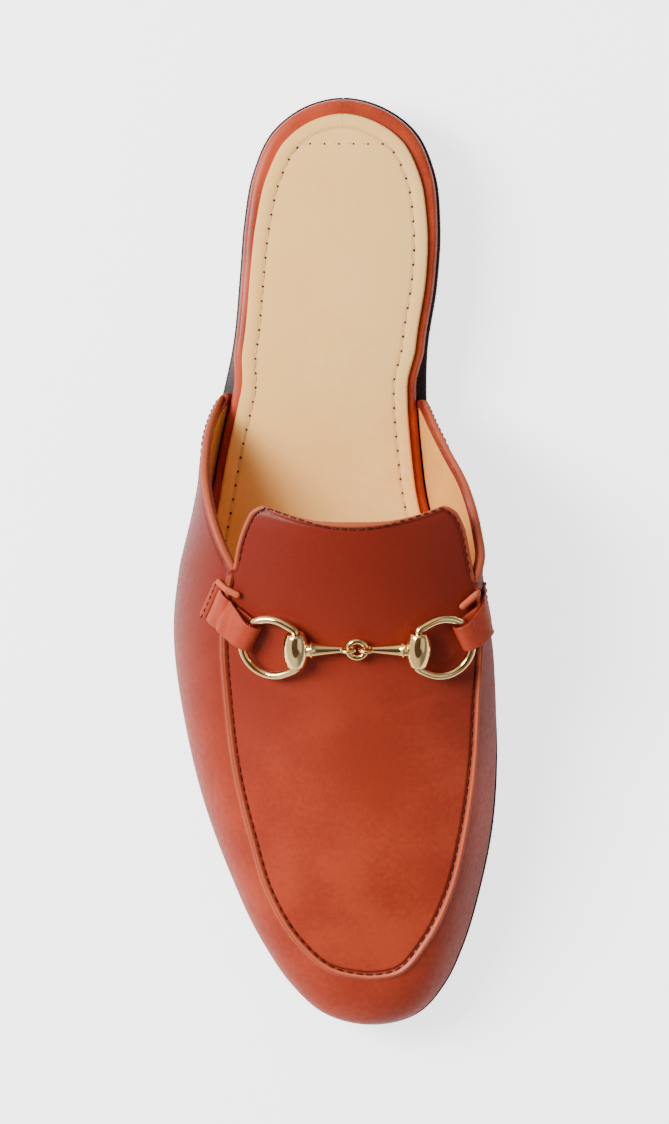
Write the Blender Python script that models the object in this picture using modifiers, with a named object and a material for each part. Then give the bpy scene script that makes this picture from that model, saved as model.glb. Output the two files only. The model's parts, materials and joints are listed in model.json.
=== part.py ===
"""Backless bit loafer for the right foot: a slip-on shoe with a moc-toe apron, open quarters and a snaffle bit.

The shoe is drawn with its heel back at y = 0, its toe towards +Y, its outer (lateral) side towards +X and the floor
at z = 0. One empty then carries every piece so that the origin lies on the floor under the middle of the shoe.
"""

import math

import bmesh
import bpy
import numpy as np
from mathutils import Matrix, Vector
from mathutils.bvhtree import BVHTree

# Main sizes in metres
LENGTH = 0.258
BALL_WIDTH = 0.090
INSTEP_RISE = 0.060
HEEL_HEIGHT = 0.0145
TOE_SPRING = 0.0085

# Leather and board thicknesses
WALL = 0.0018
SOLE_THICKNESS = 0.0045
BOARD_THICKNESS = 0.0040
SOCK_THICKNESS = 0.0012
SOCK_ROUND = 0.0005
TOP_LIFT_THICKNESS = 0.0050
STRAP_THICKNESS = 0.0010
SEAM_RIDGE = 0.0008
BINDING_STEP = 0.0004

# Widths and lengths of small forms
SEAM_HALF_WIDTH = 0.0012
BINDING_WIDTH = 0.0024
WALL_FOOT_RISE = 0.0015
HEEL_LENGTH = 0.060
HEEL_TAPER = 0.0010
EDGE_ROUND = 0.0007
TONGUE_CORNER = 0.0032
TONGUE_HOLLOW = 0.0052

# Clearances and margins
GAP = 0.0003
SOLE_MARGIN = 0.0006
BOARD_FIT = 0.0004
BOARD_TOE_EASE = 0.0010
BOARD_MARGIN = 0.0008
SOCK_MARGIN_BACK = 0.0042
SOCK_MARGIN_SIDE = 0.0024

# Where the waist of the sole starts and ends, and where the toe starts to lift, as shares of the length
SEAT_END = 0.24
BALL_START = 0.62
SPRING_START = 0.74
SPRING_POWER = 1.7

# Where the board steps in to make room for the quarters, as shares of the length
BOARD_STEP_START = 0.270
BOARD_STEP_END = 0.312

# Where the board draws back from the toe cap, and where the sock's rounder margin at the heel ends
BOARD_EASE_START = 0.86
BOARD_EASE_END = 0.96
SOCK_BACK_END = 0.20

# Snaffle bit
RING_RADIUS = 0.0083
RING_WIRE = 0.00115
RING_SETBACK = 0.0070
BARREL_RADIUS = 0.0035
BARREL_END_RADIUS = 0.0025
BARREL_LENGTH = 0.0098
BARREL_SHARES = (1.0, 0.72, 0.38, 0.0, -0.38, -0.72, -1.0)
COLLAR_RADIUS = 0.0024
COLLAR_OFFSET = 0.0004
COLLAR_LENGTH = 0.0006
COLLAR_CHAMFER = 0.0002
CONE_RADIUS = 0.0019
CONE_TIP_RADIUS = 0.0009
CONE_NECK_RADIUS = 0.0010
CONE_NECK_LENGTH = 0.0010
BIT_HALF_LENGTH = 0.0166
BIT_SWEEP = math.radians(5)
BARREL_FALL = math.radians(10)
RING_FALL = math.radians(25)
RING_BEND = math.radians(114)
RING_BEND_POINTS = 4
RING_ROUND_POINTS = 11
LINK_RADIUS = 0.0024
LINK_WIRE = 0.00085
EYE_RADIUS = 0.00175
EYE_WIRE = 0.00055
EYE_REACH = BIT_HALF_LENGTH - (LINK_RADIUS - LINK_WIRE - GAP - EYE_WIRE) - EYE_RADIUS

# Straps and notch bars
STRAP_LENGTH = 0.0119
STRAP_WIDTH_AT_SLIT = 0.0118
STRAP_WIDTH_AT_RING = 0.0080
STRAP_TUCK = 0.0050
STRAP_EASE = 0.00045
STRAP_LIFT = 0.00045
STRAP_TURN = math.radians(26)
STRAP_STEP_OUT = 0.0026
STRAP_END_THINNING = (0.4, 0.8)
STRAP_TOP_TURN = 30
STRAP_TURN_STEP = 20
WIRE_HEIGHT = STRAP_LIFT + STRAP_THICKNESS + STRAP_EASE + RING_WIRE
BAR_WIDTH = 0.0018
BAR_THICKNESS = 0.0012
BAR_SHARES = (0.0, 0.06, 0.25, 0.5, 0.75, 0.94, 1.0)

# Sole outline from the toe round the lateral side to the heel and back along the medial side.
# Columns: y as a share of LENGTH, x as a share of BALL_WIDTH
OUTLINE = [
    (1.000, -0.079),
    (0.986, 0.069),
    (0.953, 0.166),
    (0.915, 0.232),
    (0.837, 0.336),
    (0.760, 0.418),
    (0.682, 0.473),
    (0.612, 0.504),
    (0.562, 0.507),
    (0.504, 0.482),
    (0.434, 0.444),
    (0.372, 0.410),
    (0.326, 0.379),
    (0.269, 0.343),
    (0.192, 0.321),
    (0.136, 0.308),
    (0.081, 0.280),
    (0.037, 0.221),
    (0.010, 0.122),
    (0.000, 0.003),
    (0.010, -0.120),
    (0.037, -0.224),
    (0.081, -0.282),
    (0.136, -0.299),
    (0.202, -0.289),
    (0.269, -0.260),
    (0.326, -0.256),
    (0.380, -0.267),
    (0.430, -0.285),
    (0.481, -0.327),
    (0.535, -0.384),
    (0.589, -0.436),
    (0.651, -0.466),
    (0.721, -0.473),
    (0.783, -0.461),
    (0.853, -0.422),
    (0.915, -0.369),
    (0.953, -0.318),
    (0.986, -0.236),
]

# Ribs of the upper, one row each, from the toe to the rear end of the quarter.
# Columns: foot of the rib along the sole (share of LENGTH); top of the rib: x (share of BALL_WIDTH), y (share of
# LENGTH), rise above the sole (share of INSTEP_RISE); how far the rib leans out above its foot and under its top
# (shares of BALL_WIDTH)
TOE_RIB = (1.000, -0.078, 0.942, 0.308, 0.017, 0.100)
LATERAL_SEAM_RIBS = [
    TOE_RIB,
    (0.971, 0.039, 0.933, 0.323, 0.024, 0.089),
    (0.930, 0.128, 0.906, 0.364, 0.039, 0.078),
    (0.868, 0.217, 0.855, 0.423, 0.050, 0.078),
    (0.798, 0.269, 0.795, 0.490, 0.050, 0.100),
    (0.721, 0.317, 0.721, 0.558, 0.050, 0.122),
    (0.643, 0.342, 0.641, 0.633, 0.050, 0.144),
    (0.581, 0.348, 0.581, 0.743, 0.056, 0.156),
    (0.508, 0.318, 0.504, 0.843, 0.067, 0.156),
]
LATERAL_TOPLINE_RIBS = [
    (0.508, 0.318, 0.504, 0.843, 0.067, 0.156),
    (0.481, 0.349, 0.483, 0.820, 0.056, 0.111),
    (0.450, 0.382, 0.453, 0.766, 0.039, 0.067),
    (0.411, 0.409, 0.413, 0.654, 0.028, 0.028),
    (0.374, 0.411, 0.375, 0.478, 0.033, 0.017),
    (0.343, 0.400, 0.347, 0.280, 0.022, 0.009),
    (0.318, 0.373, 0.320, 0.052, 0.007, 0.003),
]
MEDIAL_SEAM_RIBS = [
    TOE_RIB,
    (0.971, -0.172, 0.936, 0.321, 0.009, 0.089),
    (0.930, -0.251, 0.905, 0.365, 0.007, 0.072),
    (0.868, -0.322, 0.855, 0.423, 0.006, 0.061),
    (0.798, -0.366, 0.795, 0.490, 0.006, 0.061),
    (0.721, -0.398, 0.721, 0.558, 0.009, 0.061),
    (0.643, -0.412, 0.641, 0.625, 0.024, 0.061),
    (0.581, -0.421, 0.589, 0.695, 0.044, 0.056),
    (0.519, -0.411, 0.517, 0.782, 0.050, 0.056),
]
MEDIAL_TOPLINE_RIBS = [
    (0.519, -0.411, 0.517, 0.782, 0.050, 0.056),
    (0.496, -0.429, 0.500, 0.785, 0.050, 0.033),
    (0.465, -0.421, 0.465, 0.759, 0.044, 0.017),
    (0.422, -0.389, 0.424, 0.682, 0.039, 0.011),
    (0.380, -0.324, 0.380, 0.499, 0.028, 0.009),
    (0.349, -0.280, 0.349, 0.273, 0.017, 0.006),
    (0.326, -0.254, 0.326, 0.065, 0.006, 0.002),
]

# Profile of the board's rounded edge. Columns: inset and height as shares of BOARD_THICKNESS
BOARD_EDGE = [(0.16, 0.0), (0.0, 0.22), (0.0, 0.50), (0.10, 0.78), (0.32, 0.95), (0.62, 1.0)]

# Highest line of the apron and tongue. Columns: y (share of LENGTH), rise above the sole (share of INSTEP_RISE)
CREST = [
    (0.942, 0.308),
    (0.903, 0.391),
    (0.826, 0.520),
    (0.729, 0.645),
    (0.651, 0.755),
    (0.589, 0.854),
    (0.516, 0.955),
    (0.461, 1.000),
    (0.430, 1.014),
]

# Side edges of the tongue from the notch up. Columns: x (share of BALL_WIDTH), y (share of LENGTH), rise (share of
# INSTEP_RISE)
TONGUE_LATERAL = [
    (0.318, 0.504, 0.843),
    (0.307, 0.484, 0.863),
    (0.284, 0.461, 0.889),
    (0.251, 0.440, 0.907),
]
TONGUE_MEDIAL = [
    (-0.411, 0.517, 0.782),
    (-0.398, 0.492, 0.815),
    (-0.380, 0.463, 0.845),
    (-0.347, 0.440, 0.871),
]

# Most of a narrow strip's width that its seam edge takes
STRIP_EDGE_MOST = 0.3

# How far up a rib its lower and upper handles reach, as shares of its rise, and how much of the rise may stand upright
RIB_LOW_HANDLE = 0.38
RIB_HIGH_HANDLE = 0.17
RIB_UPRIGHT = 0.3

# Shares of the way up the tongue, then of its corner, where its strips lie
TONGUE_SHARES = (0.25, 0.5)
CORNER_SHARES = (1.0, 0.6, 0.28, 0.08, 0.0)

# Hardware places: x (share of BALL_WIDTH), y (share of LENGTH)
LINK_PLACE = (-0.053, 0.592)
NOTCH_BAR_ENDS = {
    "lateral": ((0.360, 0.518), (0.293, 0.534)),
    "medial": ((-0.412, 0.530), (-0.358, 0.546)),
}

# How surfaces are probed: how far outside a ray starts, how deep inside it aims, the turn and number of the rays of a
# section, the half width of a patch and the reach of a search for the nearest place
RAY_REACH = 0.15
SECTION_DEPTH = 0.022
SECTION_TURN = (math.radians(-30), math.radians(90))
SECTION_RAYS = 121
PATCH = 0.0012
NEAR = 0.004
RING_LIFTS = 3
BAND_SECTIONS = 5
STRAP_FLAT_POINTS = 7
UNDER_SHARES = (0.2, 0.4, 0.6, 0.8, 1.0)

# Fineness of the meshes
SOLE_STATIONS = 44
HEEL_STATIONS = 14
SEAM_RIB_COUNT = 24
TOPLINE_RIB_COUNT = 14
APRON_STRIPS = 12
RIB_CURVE_POINTS = (0.17, 0.36, 0.575, 0.81)
RIB_STEP = 0.001

SIDES = ("lateral", "medial")
PART_NAME = "bit_loafer"


def clear_scene():
    for obj in list(bpy.data.objects):
        bpy.data.objects.remove(obj, do_unlink=True)


def make_collection(name):
    collection = bpy.data.collections.new(name)
    bpy.context.scene.collection.children.link(collection)
    return collection


def make_material(name, colour, roughness, metallic=0.0):
    material = bpy.data.materials.new(name)
    material.use_nodes = True
    shader = material.node_tree.nodes["Principled BSDF"]
    shader.inputs["Base Color"].default_value = (*colour, 1.0)
    shader.inputs["Roughness"].default_value = roughness
    shader.inputs["Metallic"].default_value = metallic
    return material


def add_object(name, mesh, material, collection):
    obj = bpy.data.objects.new(name, mesh)
    mesh.materials.append(material)
    collection.objects.link(obj)
    return obj


def loft(name, rings):
    """A closed body through rings of points, one ring for each station. An end ring whose two halves fall together
    needs no cap."""
    shape = bmesh.new()
    rows = [[shape.verts.new(point) for point in ring] for ring in rings]
    around = len(rows[0])
    for near, far in zip(rows, rows[1:]):
        for k in range(around):
            n = (k + 1) % around
            shape.faces.new((near[k], near[n], far[n], far[k]))
    for row in (rows[0], rows[-1]):
        if max((near.co - far.co).length for near, far in zip(row, reversed(row))) > 1e-5:
            shape.faces.new(row)
    bmesh.ops.remove_doubles(shape, verts=shape.verts, dist=1e-6)
    bmesh.ops.recalc_face_normals(shape, faces=shape.faces)
    mesh = bpy.data.meshes.new(name)
    shape.to_mesh(mesh)
    shape.free()
    mesh.shade_smooth()
    mesh.set_sharp_from_angle(angle=math.radians(40))
    return mesh


def smooth_curve(rows, closed=False):
    """A smooth curve through rows of numbers: a function of 0 to 1, with knots at the distances between the rows."""
    points = np.array(rows, float)
    if closed:
        points = np.vstack([points, points[:1]])
    steps = np.linalg.norm(np.diff(points, axis=0), axis=1)
    knots = np.concatenate([[0.0], np.cumsum(steps)])
    slopes = np.diff(points, axis=0) / steps[:, None]
    tangents = np.empty_like(points)
    weights = steps[:-1, None] + steps[1:, None]
    tangents[1:-1] = (slopes[:-1] * steps[1:, None] + slopes[1:] * steps[:-1, None]) / weights
    if closed:
        ends = (slopes[-1] * steps[0] + slopes[0] * steps[-1]) / (steps[0] + steps[-1])
        tangents[0] = tangents[-1] = ends
    else:
        tangents[0] = 1.5 * slopes[0] - 0.5 * tangents[1]
        tangents[-1] = 1.5 * slopes[-1] - 0.5 * tangents[-2]

    def at(share):
        place = np.clip(np.atleast_1d(share), 0.0, 1.0) * knots[-1]
        i = np.clip(np.searchsorted(knots, place, side="right") - 1, 0, len(steps) - 1)
        t = ((place - knots[i]) / steps[i])[:, None]
        h = steps[i][:, None]
        near = (1 + 2 * t) * (1 - t) ** 2 * points[i] + t * (1 - t) ** 2 * h * tangents[i]
        far = t**2 * (3 - 2 * t) * points[i + 1] - t**2 * (1 - t) * h * tangents[i + 1]
        return near + far

    return at


def smooth_step(value):
    t = np.clip(value, 0.0, 1.0)
    return t * t * (3 - 2 * t)


# Side view of the sole


def tread_height(y):
    """Height of the underside of the outsole above the floor."""
    share = np.asarray(y, float) / LENGTH
    waist = smooth_step((share - SEAT_END) / (BALL_START - SEAT_END))
    lift = np.clip((share - SPRING_START) / (1 - SPRING_START), 0.0, None)
    return HEEL_HEIGHT * (1 - waist) + TOE_SPRING * lift**SPRING_POWER


def seat_height(y):
    """Height of the upper face of the outsole."""
    return tread_height(y) + SOLE_THICKNESS


# Plan outline of the sole


class Outline:
    """The sole's plan outline, with insets measured square to it."""

    def __init__(self):
        rows = [(x * BALL_WIDTH, y * LENGTH) for y, x in OUTLINE]
        curve = smooth_curve(rows, closed=True)
        self.shares = np.linspace(0.0, 1.0, 4001)
        self.points = curve(self.shares)
        step = np.gradient(self.points, axis=0)
        step[0] = step[-1] = self.points[1] - self.points[-2]
        step /= np.linalg.norm(step, axis=1)[:, None]
        # The outline runs clockwise seen from above, so its inner side is on the right of its direction.
        self.inward = np.stack([step[:, 1], -step[:, 0]], axis=1)
        self.heel = int(np.argmin(self.points[:, 1]))
        self.toe = int(np.argmax(self.points[: self.heel, 1]))
        lengths = np.linalg.norm(np.diff(self.points, axis=0), axis=1)
        self.arc = np.concatenate([[0.0], np.cumsum(lengths)])

    def share_at(self, y, side):
        """Share of the outline where one side reaches y."""
        if side == "lateral":
            piece = slice(self.toe, self.heel + 1)
            return np.interp(-np.asarray(y), -self.points[piece, 1], self.shares[piece])
        piece = slice(self.heel, len(self.shares))
        return np.interp(y, self.points[piece, 1], self.shares[piece])

    def at(self, share, inset=0.0):
        place = np.stack([np.interp(share, self.shares, self.points[:, i]) for i in (0, 1)], axis=-1)
        inward = np.stack([np.interp(share, self.shares, self.inward[:, i]) for i in (0, 1)], axis=-1)
        inward /= np.linalg.norm(inward, axis=-1, keepdims=True)
        return place + inward * np.asarray(inset)[..., None]


def full_stations(count):
    """Stations from heel back to toe tip, closer together at both round ends."""
    return LENGTH * (1 - np.cos(np.linspace(0.0, math.pi, count))) / 2


def heel_stations(count):
    """Stations from the heel back to the breast of the heel, closer together at the back."""
    return HEEL_LENGTH * (1 - np.cos(np.linspace(0.0, math.pi / 2, count)))


def slab(name, outline, stations, levels):
    """A slab that follows the outline: one ring of points for each station, and one pair of points in it for each
    level. A level is a function of y for the inset and a function of y for the height."""
    lateral = outline.share_at(stations, "lateral")
    medial = outline.share_at(stations, "medial")
    columns = []
    for shares, order in ((lateral, levels), (medial, levels[::-1])):
        for inset, height in order:
            plan = outline.at(shares, inset(stations))
            columns.append(np.column_stack([plan, height(plan[:, 1])]))
    return loft(name, np.stack(columns, axis=1).tolist())


def constant(value):
    return lambda y: np.full_like(np.asarray(y, float), value)


def above(height, amount):
    return lambda y: height(y) + amount


def make_outsole(outline, material, collection):
    levels = [
        (constant(EDGE_ROUND), tread_height),
        (constant(0.0), above(tread_height, EDGE_ROUND)),
        (constant(0.0), above(seat_height, -EDGE_ROUND)),
        (constant(EDGE_ROUND), seat_height),
    ]
    mesh = slab("outsole", outline, full_stations(SOLE_STATIONS), levels)
    return add_object("outsole", mesh, material, collection)


def make_heel(outline, stack_material, lift_material, collection):
    stations = heel_stations(HEEL_STATIONS)
    split = TOP_LIFT_THICKNESS
    taper = HEEL_TAPER / HEEL_HEIGHT
    lift_levels = [
        (constant(SOLE_MARGIN + HEEL_TAPER + EDGE_ROUND), constant(0.0)),
        (constant(SOLE_MARGIN + HEEL_TAPER - EDGE_ROUND * taper), constant(EDGE_ROUND)),
        (constant(SOLE_MARGIN + HEEL_TAPER - split * taper), constant(split)),
    ]
    stack_levels = [
        (constant(SOLE_MARGIN + HEEL_TAPER - split * taper), constant(split + GAP)),
        (constant(SOLE_MARGIN), constant(HEEL_HEIGHT - GAP)),
    ]
    lift = slab("heel_top_lift", outline, stations, lift_levels)
    add_object("heel_top_lift", lift, lift_material, collection)
    stack = slab("heel_stack", outline, stations, stack_levels)
    add_object("heel_stack", stack, stack_material, collection)


def board_inset(y):
    """The wrapped board reaches the sole's edge at the heel and steps in where the quarters stand beside it."""
    step = smooth_step((np.asarray(y) / LENGTH - BOARD_STEP_START) / (BOARD_STEP_END - BOARD_STEP_START))
    toe = smooth_step((np.asarray(y) / LENGTH - BOARD_EASE_START) / (BOARD_EASE_END - BOARD_EASE_START))
    inside = SOLE_MARGIN + WALL + BOARD_FIT + BOARD_TOE_EASE * toe
    return BOARD_MARGIN + (inside - BOARD_MARGIN) * step


def sock_inset(y):
    """The sock lies further in round the heel than along the sides."""
    back = 1 - smooth_step(np.asarray(y) / (SOCK_BACK_END * LENGTH))
    return board_inset(y) + SOCK_MARGIN_SIDE + (SOCK_MARGIN_BACK - SOCK_MARGIN_SIDE) * back


def make_footbed(outline, rand_material, sock_material, collection):
    """The leather-wrapped insole board with its rounded edge, and the sock on top of it."""
    low = above(seat_height, GAP)
    levels = []
    for depth, rise in BOARD_EDGE:
        levels.append((lambda y, d=depth: board_inset(y) + d * BOARD_THICKNESS, above(low, rise * BOARD_THICKNESS)))
    board = slab("insole_board", outline, full_stations(SOLE_STATIONS), levels)
    add_object("insole_board", board, rand_material, collection)
    top = above(low, BOARD_THICKNESS + GAP)
    levels = [
        (sock_inset, top),
        (sock_inset, above(top, SOCK_THICKNESS - SOCK_ROUND)),
        (lambda y: sock_inset(y) + SOCK_ROUND, above(top, SOCK_THICKNESS)),
    ]
    sock = slab("sock_liner", outline, full_stations(SOLE_STATIONS), levels)
    add_object("sock_liner", sock, sock_material, collection)


# The upper: walls of ribs, an apron between the seams and a tongue beyond the notches


def lift_point(x_share, y_share, rise):
    y = y_share * LENGTH
    return (x_share * BALL_WIDTH, y, float(seat_height(y)) + rise * INSTEP_RISE)


def rib_tops(rows):
    return smooth_curve([lift_point(*row[1:4]) for row in rows])


def rib_values(outline, rows, side):
    """Curves along one group of ribs: the foot's place on the outline and the two leans, by the rows' own order."""
    shares = [float(outline.share_at(row[0] * LENGTH, side)) for row in rows]
    if side == "lateral":
        shares = [outline.shares[outline.toe] if row[0] >= 1.0 else s for row, s in zip(rows, shares)]
    else:
        shares = [1.0 + outline.shares[outline.toe] if row[0] >= 1.0 else s for row, s in zip(rows, shares)]
    tops = np.array([lift_point(*row[1:4]) for row in rows])
    steps = np.linalg.norm(np.diff(tops, axis=0), axis=1)
    knots = np.concatenate([[0.0], np.cumsum(steps)])
    knots /= knots[-1]
    return knots, np.array(shares), np.array([row[4] for row in rows]), np.array([row[5] for row in rows])


def bezier(a, b, c, d, t):
    return a * (1 - t) ** 3 + 3 * b * t * (1 - t) ** 2 + 3 * c * t**2 * (1 - t) + d * t**3


def make_rib(outline, share, top, foot_lean, top_lean, band):
    """Points of one rib from the sole up to its top, with two lines of points just under the top for the seam or
    the binding."""
    foot_plan = outline.at(share % 1.0, SOLE_MARGIN)
    deep_plan = outline.at(share % 1.0, SOLE_MARGIN + WALL)
    outward = foot_plan - deep_plan
    outward = Vector((*(outward / np.linalg.norm(outward)), 0.0))
    floor = max(float(seat_height(foot_plan[1])), float(seat_height(deep_plan[1]))) + GAP
    foot = Vector((*foot_plan, floor))
    top = Vector(top)
    rise = top.z - floor
    first = foot + Vector((0.0, 0.0, min(WALL_FOOT_RISE, RIB_UPRIGHT * rise)))
    low = first + outward * (foot_lean * BALL_WIDTH) + Vector((0.0, 0.0, RIB_LOW_HANDLE * rise))
    high = top + outward * (top_lean * BALL_WIDTH) - Vector((0.0, 0.0, RIB_HIGH_HANDLE * rise))
    reach = min(band, 0.5 * (top - first).length)
    length = 0.0
    last = top
    shares = []
    for wanted in (0.5 * reach, reach):
        t = 1.0 - RIB_STEP
        while length < wanted and t > 0.5:
            point = bezier(first, low, high, top, t)
            length += (point - last).length
            last = point
            t -= RIB_STEP
        shares.append(t)
    near, far = shares
    places = [share * far for share in RIB_CURVE_POINTS]
    points = [foot, first]
    points += [bezier(first, low, high, top, t) for t in places + [far, near]]
    points.append(top)
    return points


def wall_ribs(outline, side):
    """Ribs of one side: those under the seam, then those under the topline, which share the rib at the notch."""
    groups = (
        (LATERAL_SEAM_RIBS, LATERAL_TOPLINE_RIBS) if side == "lateral" else (MEDIAL_SEAM_RIBS, MEDIAL_TOPLINE_RIBS)
    )
    ribs = []
    for rows, count in zip(groups, (SEAM_RIB_COUNT, TOPLINE_RIB_COUNT)):
        curve = rib_tops(rows)
        knots, shares, foot_leans, top_leans = rib_values(outline, rows, side)
        places = np.linspace(0.0, 1.0, count + 1)
        tops = curve(places)
        feet = smooth_values(knots, shares)(places)
        foot_lean = smooth_values(knots, foot_leans)(places)
        top_lean = smooth_values(knots, top_leans)(places)
        start = 1 if ribs else 0
        for i in range(start, count + 1):
            ribs.append(make_rib(outline, feet[i], tops[i], foot_lean[i], top_lean[i], BINDING_WIDTH))
    return ribs


def smooth_values(knots, values):
    """A smooth curve of single values over given knots, which keeps between its neighbours."""
    knots = np.asarray(knots, float)
    values = np.asarray(values, float)
    steps = np.diff(knots)
    slopes = np.diff(values) / steps
    tangents = np.zeros_like(values)
    same = slopes[:-1] * slopes[1:] > 0
    mean = 2 * slopes[:-1] * slopes[1:] / np.where(same, slopes[:-1] + slopes[1:], 1.0)
    tangents[1:-1] = np.where(same, mean, 0.0)
    tangents[0] = slopes[0]
    tangents[-1] = slopes[-1]

    def at(places):
        i = np.clip(np.searchsorted(knots, places, side="right") - 1, 0, len(steps) - 1)
        t = (places - knots[i]) / steps[i]
        h = steps[i]
        near = (1 + 2 * t) * (1 - t) ** 2 * values[i] + t * (1 - t) ** 2 * h * tangents[i]
        far = t**2 * (3 - 2 * t) * values[i + 1] - t**2 * (1 - t) * h * tangents[i + 1]
        return near + far

    return at


def crest_height(y):
    rows = sorted(CREST)
    curve = smooth_values([row[0] for row in rows], [row[1] for row in rows])
    share = np.clip(y / LENGTH, rows[0][0], rows[-1][0])
    return float(seat_height(y)) + float(curve(np.array([share]))[0]) * INSTEP_RISE


def cross_strip(lateral, medial, hollow=0.0):
    """Points across the apron from one seam to the other, crowned up to the crest line."""
    lateral, medial = Vector(lateral), Vector(medial)
    width = (lateral - medial).length
    if width < 1e-5:
        return [lateral.copy() for _ in range(APRON_STRIPS + 1)]
    edge = min(SEAM_HALF_WIDTH / width, STRIP_EDGE_MOST)
    shares = [0.0, edge] + [
        edge + (1 - 2 * edge) * i / (APRON_STRIPS - 2) for i in range(1, APRON_STRIPS - 2)
    ] + [1 - edge, 1.0]
    middle_y = (lateral.y + medial.y) / 2 + hollow
    crown = crest_height(middle_y) - (lateral.z + medial.z) / 2
    points = []
    for share in shares:
        arch = 4 * share * (1 - share)
        point = lateral.lerp(medial, share)
        point.y += hollow * arch
        point.z += crown * arch
        points.append(point)
    return points


def tongue_strips():
    """Strips of the tongue from just past the notches to its hollowed top edge with rounded corners."""
    lateral = smooth_curve([lift_point(*row) for row in TONGUE_LATERAL])
    medial = smooth_curve([lift_point(*row) for row in TONGUE_MEDIAL])
    length = (Vector(lateral(1.0)[0]) - Vector(lateral(0.0)[0])).length
    corner = TONGUE_CORNER / length
    places = list(TONGUE_SHARES) + [1 - share * corner for share in CORNER_SHARES]
    strips = []
    for place in places:
        left = Vector(lateral(place)[0])
        right = Vector(medial(place)[0])
        past = max(0.0, place - (1 - corner)) / corner
        pull = TONGUE_CORNER * (1 - math.sqrt(max(0.0, 1 - past * past)))
        along_x = (left - right).normalized()
        left -= along_x * pull
        right += along_x * pull
        strips.append(cross_strip(left, right, TONGUE_HOLLOW * place))
    return strips


def make_upper(outline, material, collection):
    """The outer face as one open surface, thickened inwards to one hollow wall."""
    lateral = wall_ribs(outline, "lateral")
    medial = wall_ribs(outline, "medial")
    high = len(lateral[0])
    shape = bmesh.new()
    thick = shape.verts.layers.float.new("thick")

    def add(points):
        return [shape.verts.new(point) for point in points]

    lateral_rows = [add(rib) for rib in lateral]
    medial_rows = [lateral_rows[0]] + [add(rib) for rib in medial[1:]]
    for rows, turn in ((lateral_rows, False), (medial_rows, True)):
        for near, far in zip(rows, rows[1:]):
            for k in range(high - 1):
                face = [near[k], far[k], far[k + 1], near[k + 1]]
                shape.faces.new(face[::-1] if turn else face)
    strips = []
    for i in range(1, SEAM_RIB_COUNT + 1):
        left = lateral_rows[i][-1]
        right = medial_rows[i][-1]
        between = cross_strip(left.co, right.co)[1:-1]
        strips.append([left] + add(between) + [right])
    apex = lateral_rows[0][-1]
    for k in range(APRON_STRIPS):
        shape.faces.new([apex, strips[0][k], strips[0][k + 1]])
    for points in tongue_strips():
        strips.append(add(points))
    for near, far in zip(strips, strips[1:]):
        for k in range(APRON_STRIPS):
            shape.faces.new([near[k], far[k], far[k + 1], near[k + 1]])

    # Raised seam and bound edges: how much thicker the wall is at each point, as a share of the seam's ridge
    binding = BINDING_STEP / SEAM_RIDGE
    for rows in (lateral_rows, medial_rows):
        for i, row in enumerate(rows):
            if i < SEAM_RIB_COUNT:
                row[-1][thick] = 1.0
            else:
                row[-1][thick] = row[-2][thick] = binding
    for j, strip in enumerate(strips):
        if j >= SEAM_RIB_COUNT:
            strip[0][thick] = strip[1][thick] = strip[-1][thick] = strip[-2][thick] = binding
    for point in strips[-1] + strips[-2] + strips[-3]:
        point[thick] = binding
    apex[thick] = 1.0

    bmesh.ops.recalc_face_normals(shape, faces=shape.faces)
    outward = sum((f.normal.z * f.calc_area() for f in shape.faces), 0.0)
    if outward < 0:
        bmesh.ops.reverse_faces(shape, faces=shape.faces)
    shape.normal_update()
    weights = []
    for point in shape.verts:
        weights.append(point[thick])
        point.co += point.normal * point[thick] * SEAM_RIDGE
    mesh = bpy.data.meshes.new("upper")
    shape.to_mesh(mesh)
    shape.free()
    mesh.shade_smooth()
    obj = add_object("upper", mesh, material, collection)
    group = obj.vertex_groups.new(name="thick")
    for index, weight in enumerate(weights):
        group.add([index], weight, "REPLACE")
    wall = obj.modifiers.new("Wall", "SOLIDIFY")
    wall.thickness = WALL + SEAM_RIDGE
    wall.offset = -1.0
    wall.use_even_offset = False
    wall.use_quality_normals = True
    wall.vertex_group = "thick"
    wall.thickness_vertex_group = WALL / (WALL + SEAM_RIDGE)
    return obj


# Hardware and straps, which lie on the finished upper


class Surface:
    """The outer face of the finished upper, as rays from outside find it."""

    def __init__(self, obj):
        evaluated = obj.evaluated_get(bpy.context.evaluated_depsgraph_get())
        mesh = evaluated.to_mesh()
        points = [vertex.co.copy() for vertex in mesh.vertices]
        faces = [tuple(face.vertices) for face in mesh.polygons]
        self.tree = BVHTree.FromPolygons(points, faces)
        evaluated.to_mesh_clear()

    def hit(self, inside, direction):
        """Place on the outer face where a ray from an inside point leaves the shoe."""
        direction = direction.normalized()
        start = inside + direction * RAY_REACH
        place = self.tree.ray_cast(start, -direction)[0]
        return place

    def below(self, x, y):
        """Place on the upper under a plan point, and the surface's normal there, averaged over a small patch."""
        places = []
        for dx, dy in ((0, 0), (1, 0), (0, 1), (-1, 0), (0, -1)):
            inside = Vector((x + dx * PATCH, y + dy * PATCH, 0.0))
            places.append(self.hit(inside, Vector((0.0, 0.0, 1.0))))
        normal = (places[1] - places[3]).cross(places[2] - places[4]).normalized()
        return places[0], normal


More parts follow.
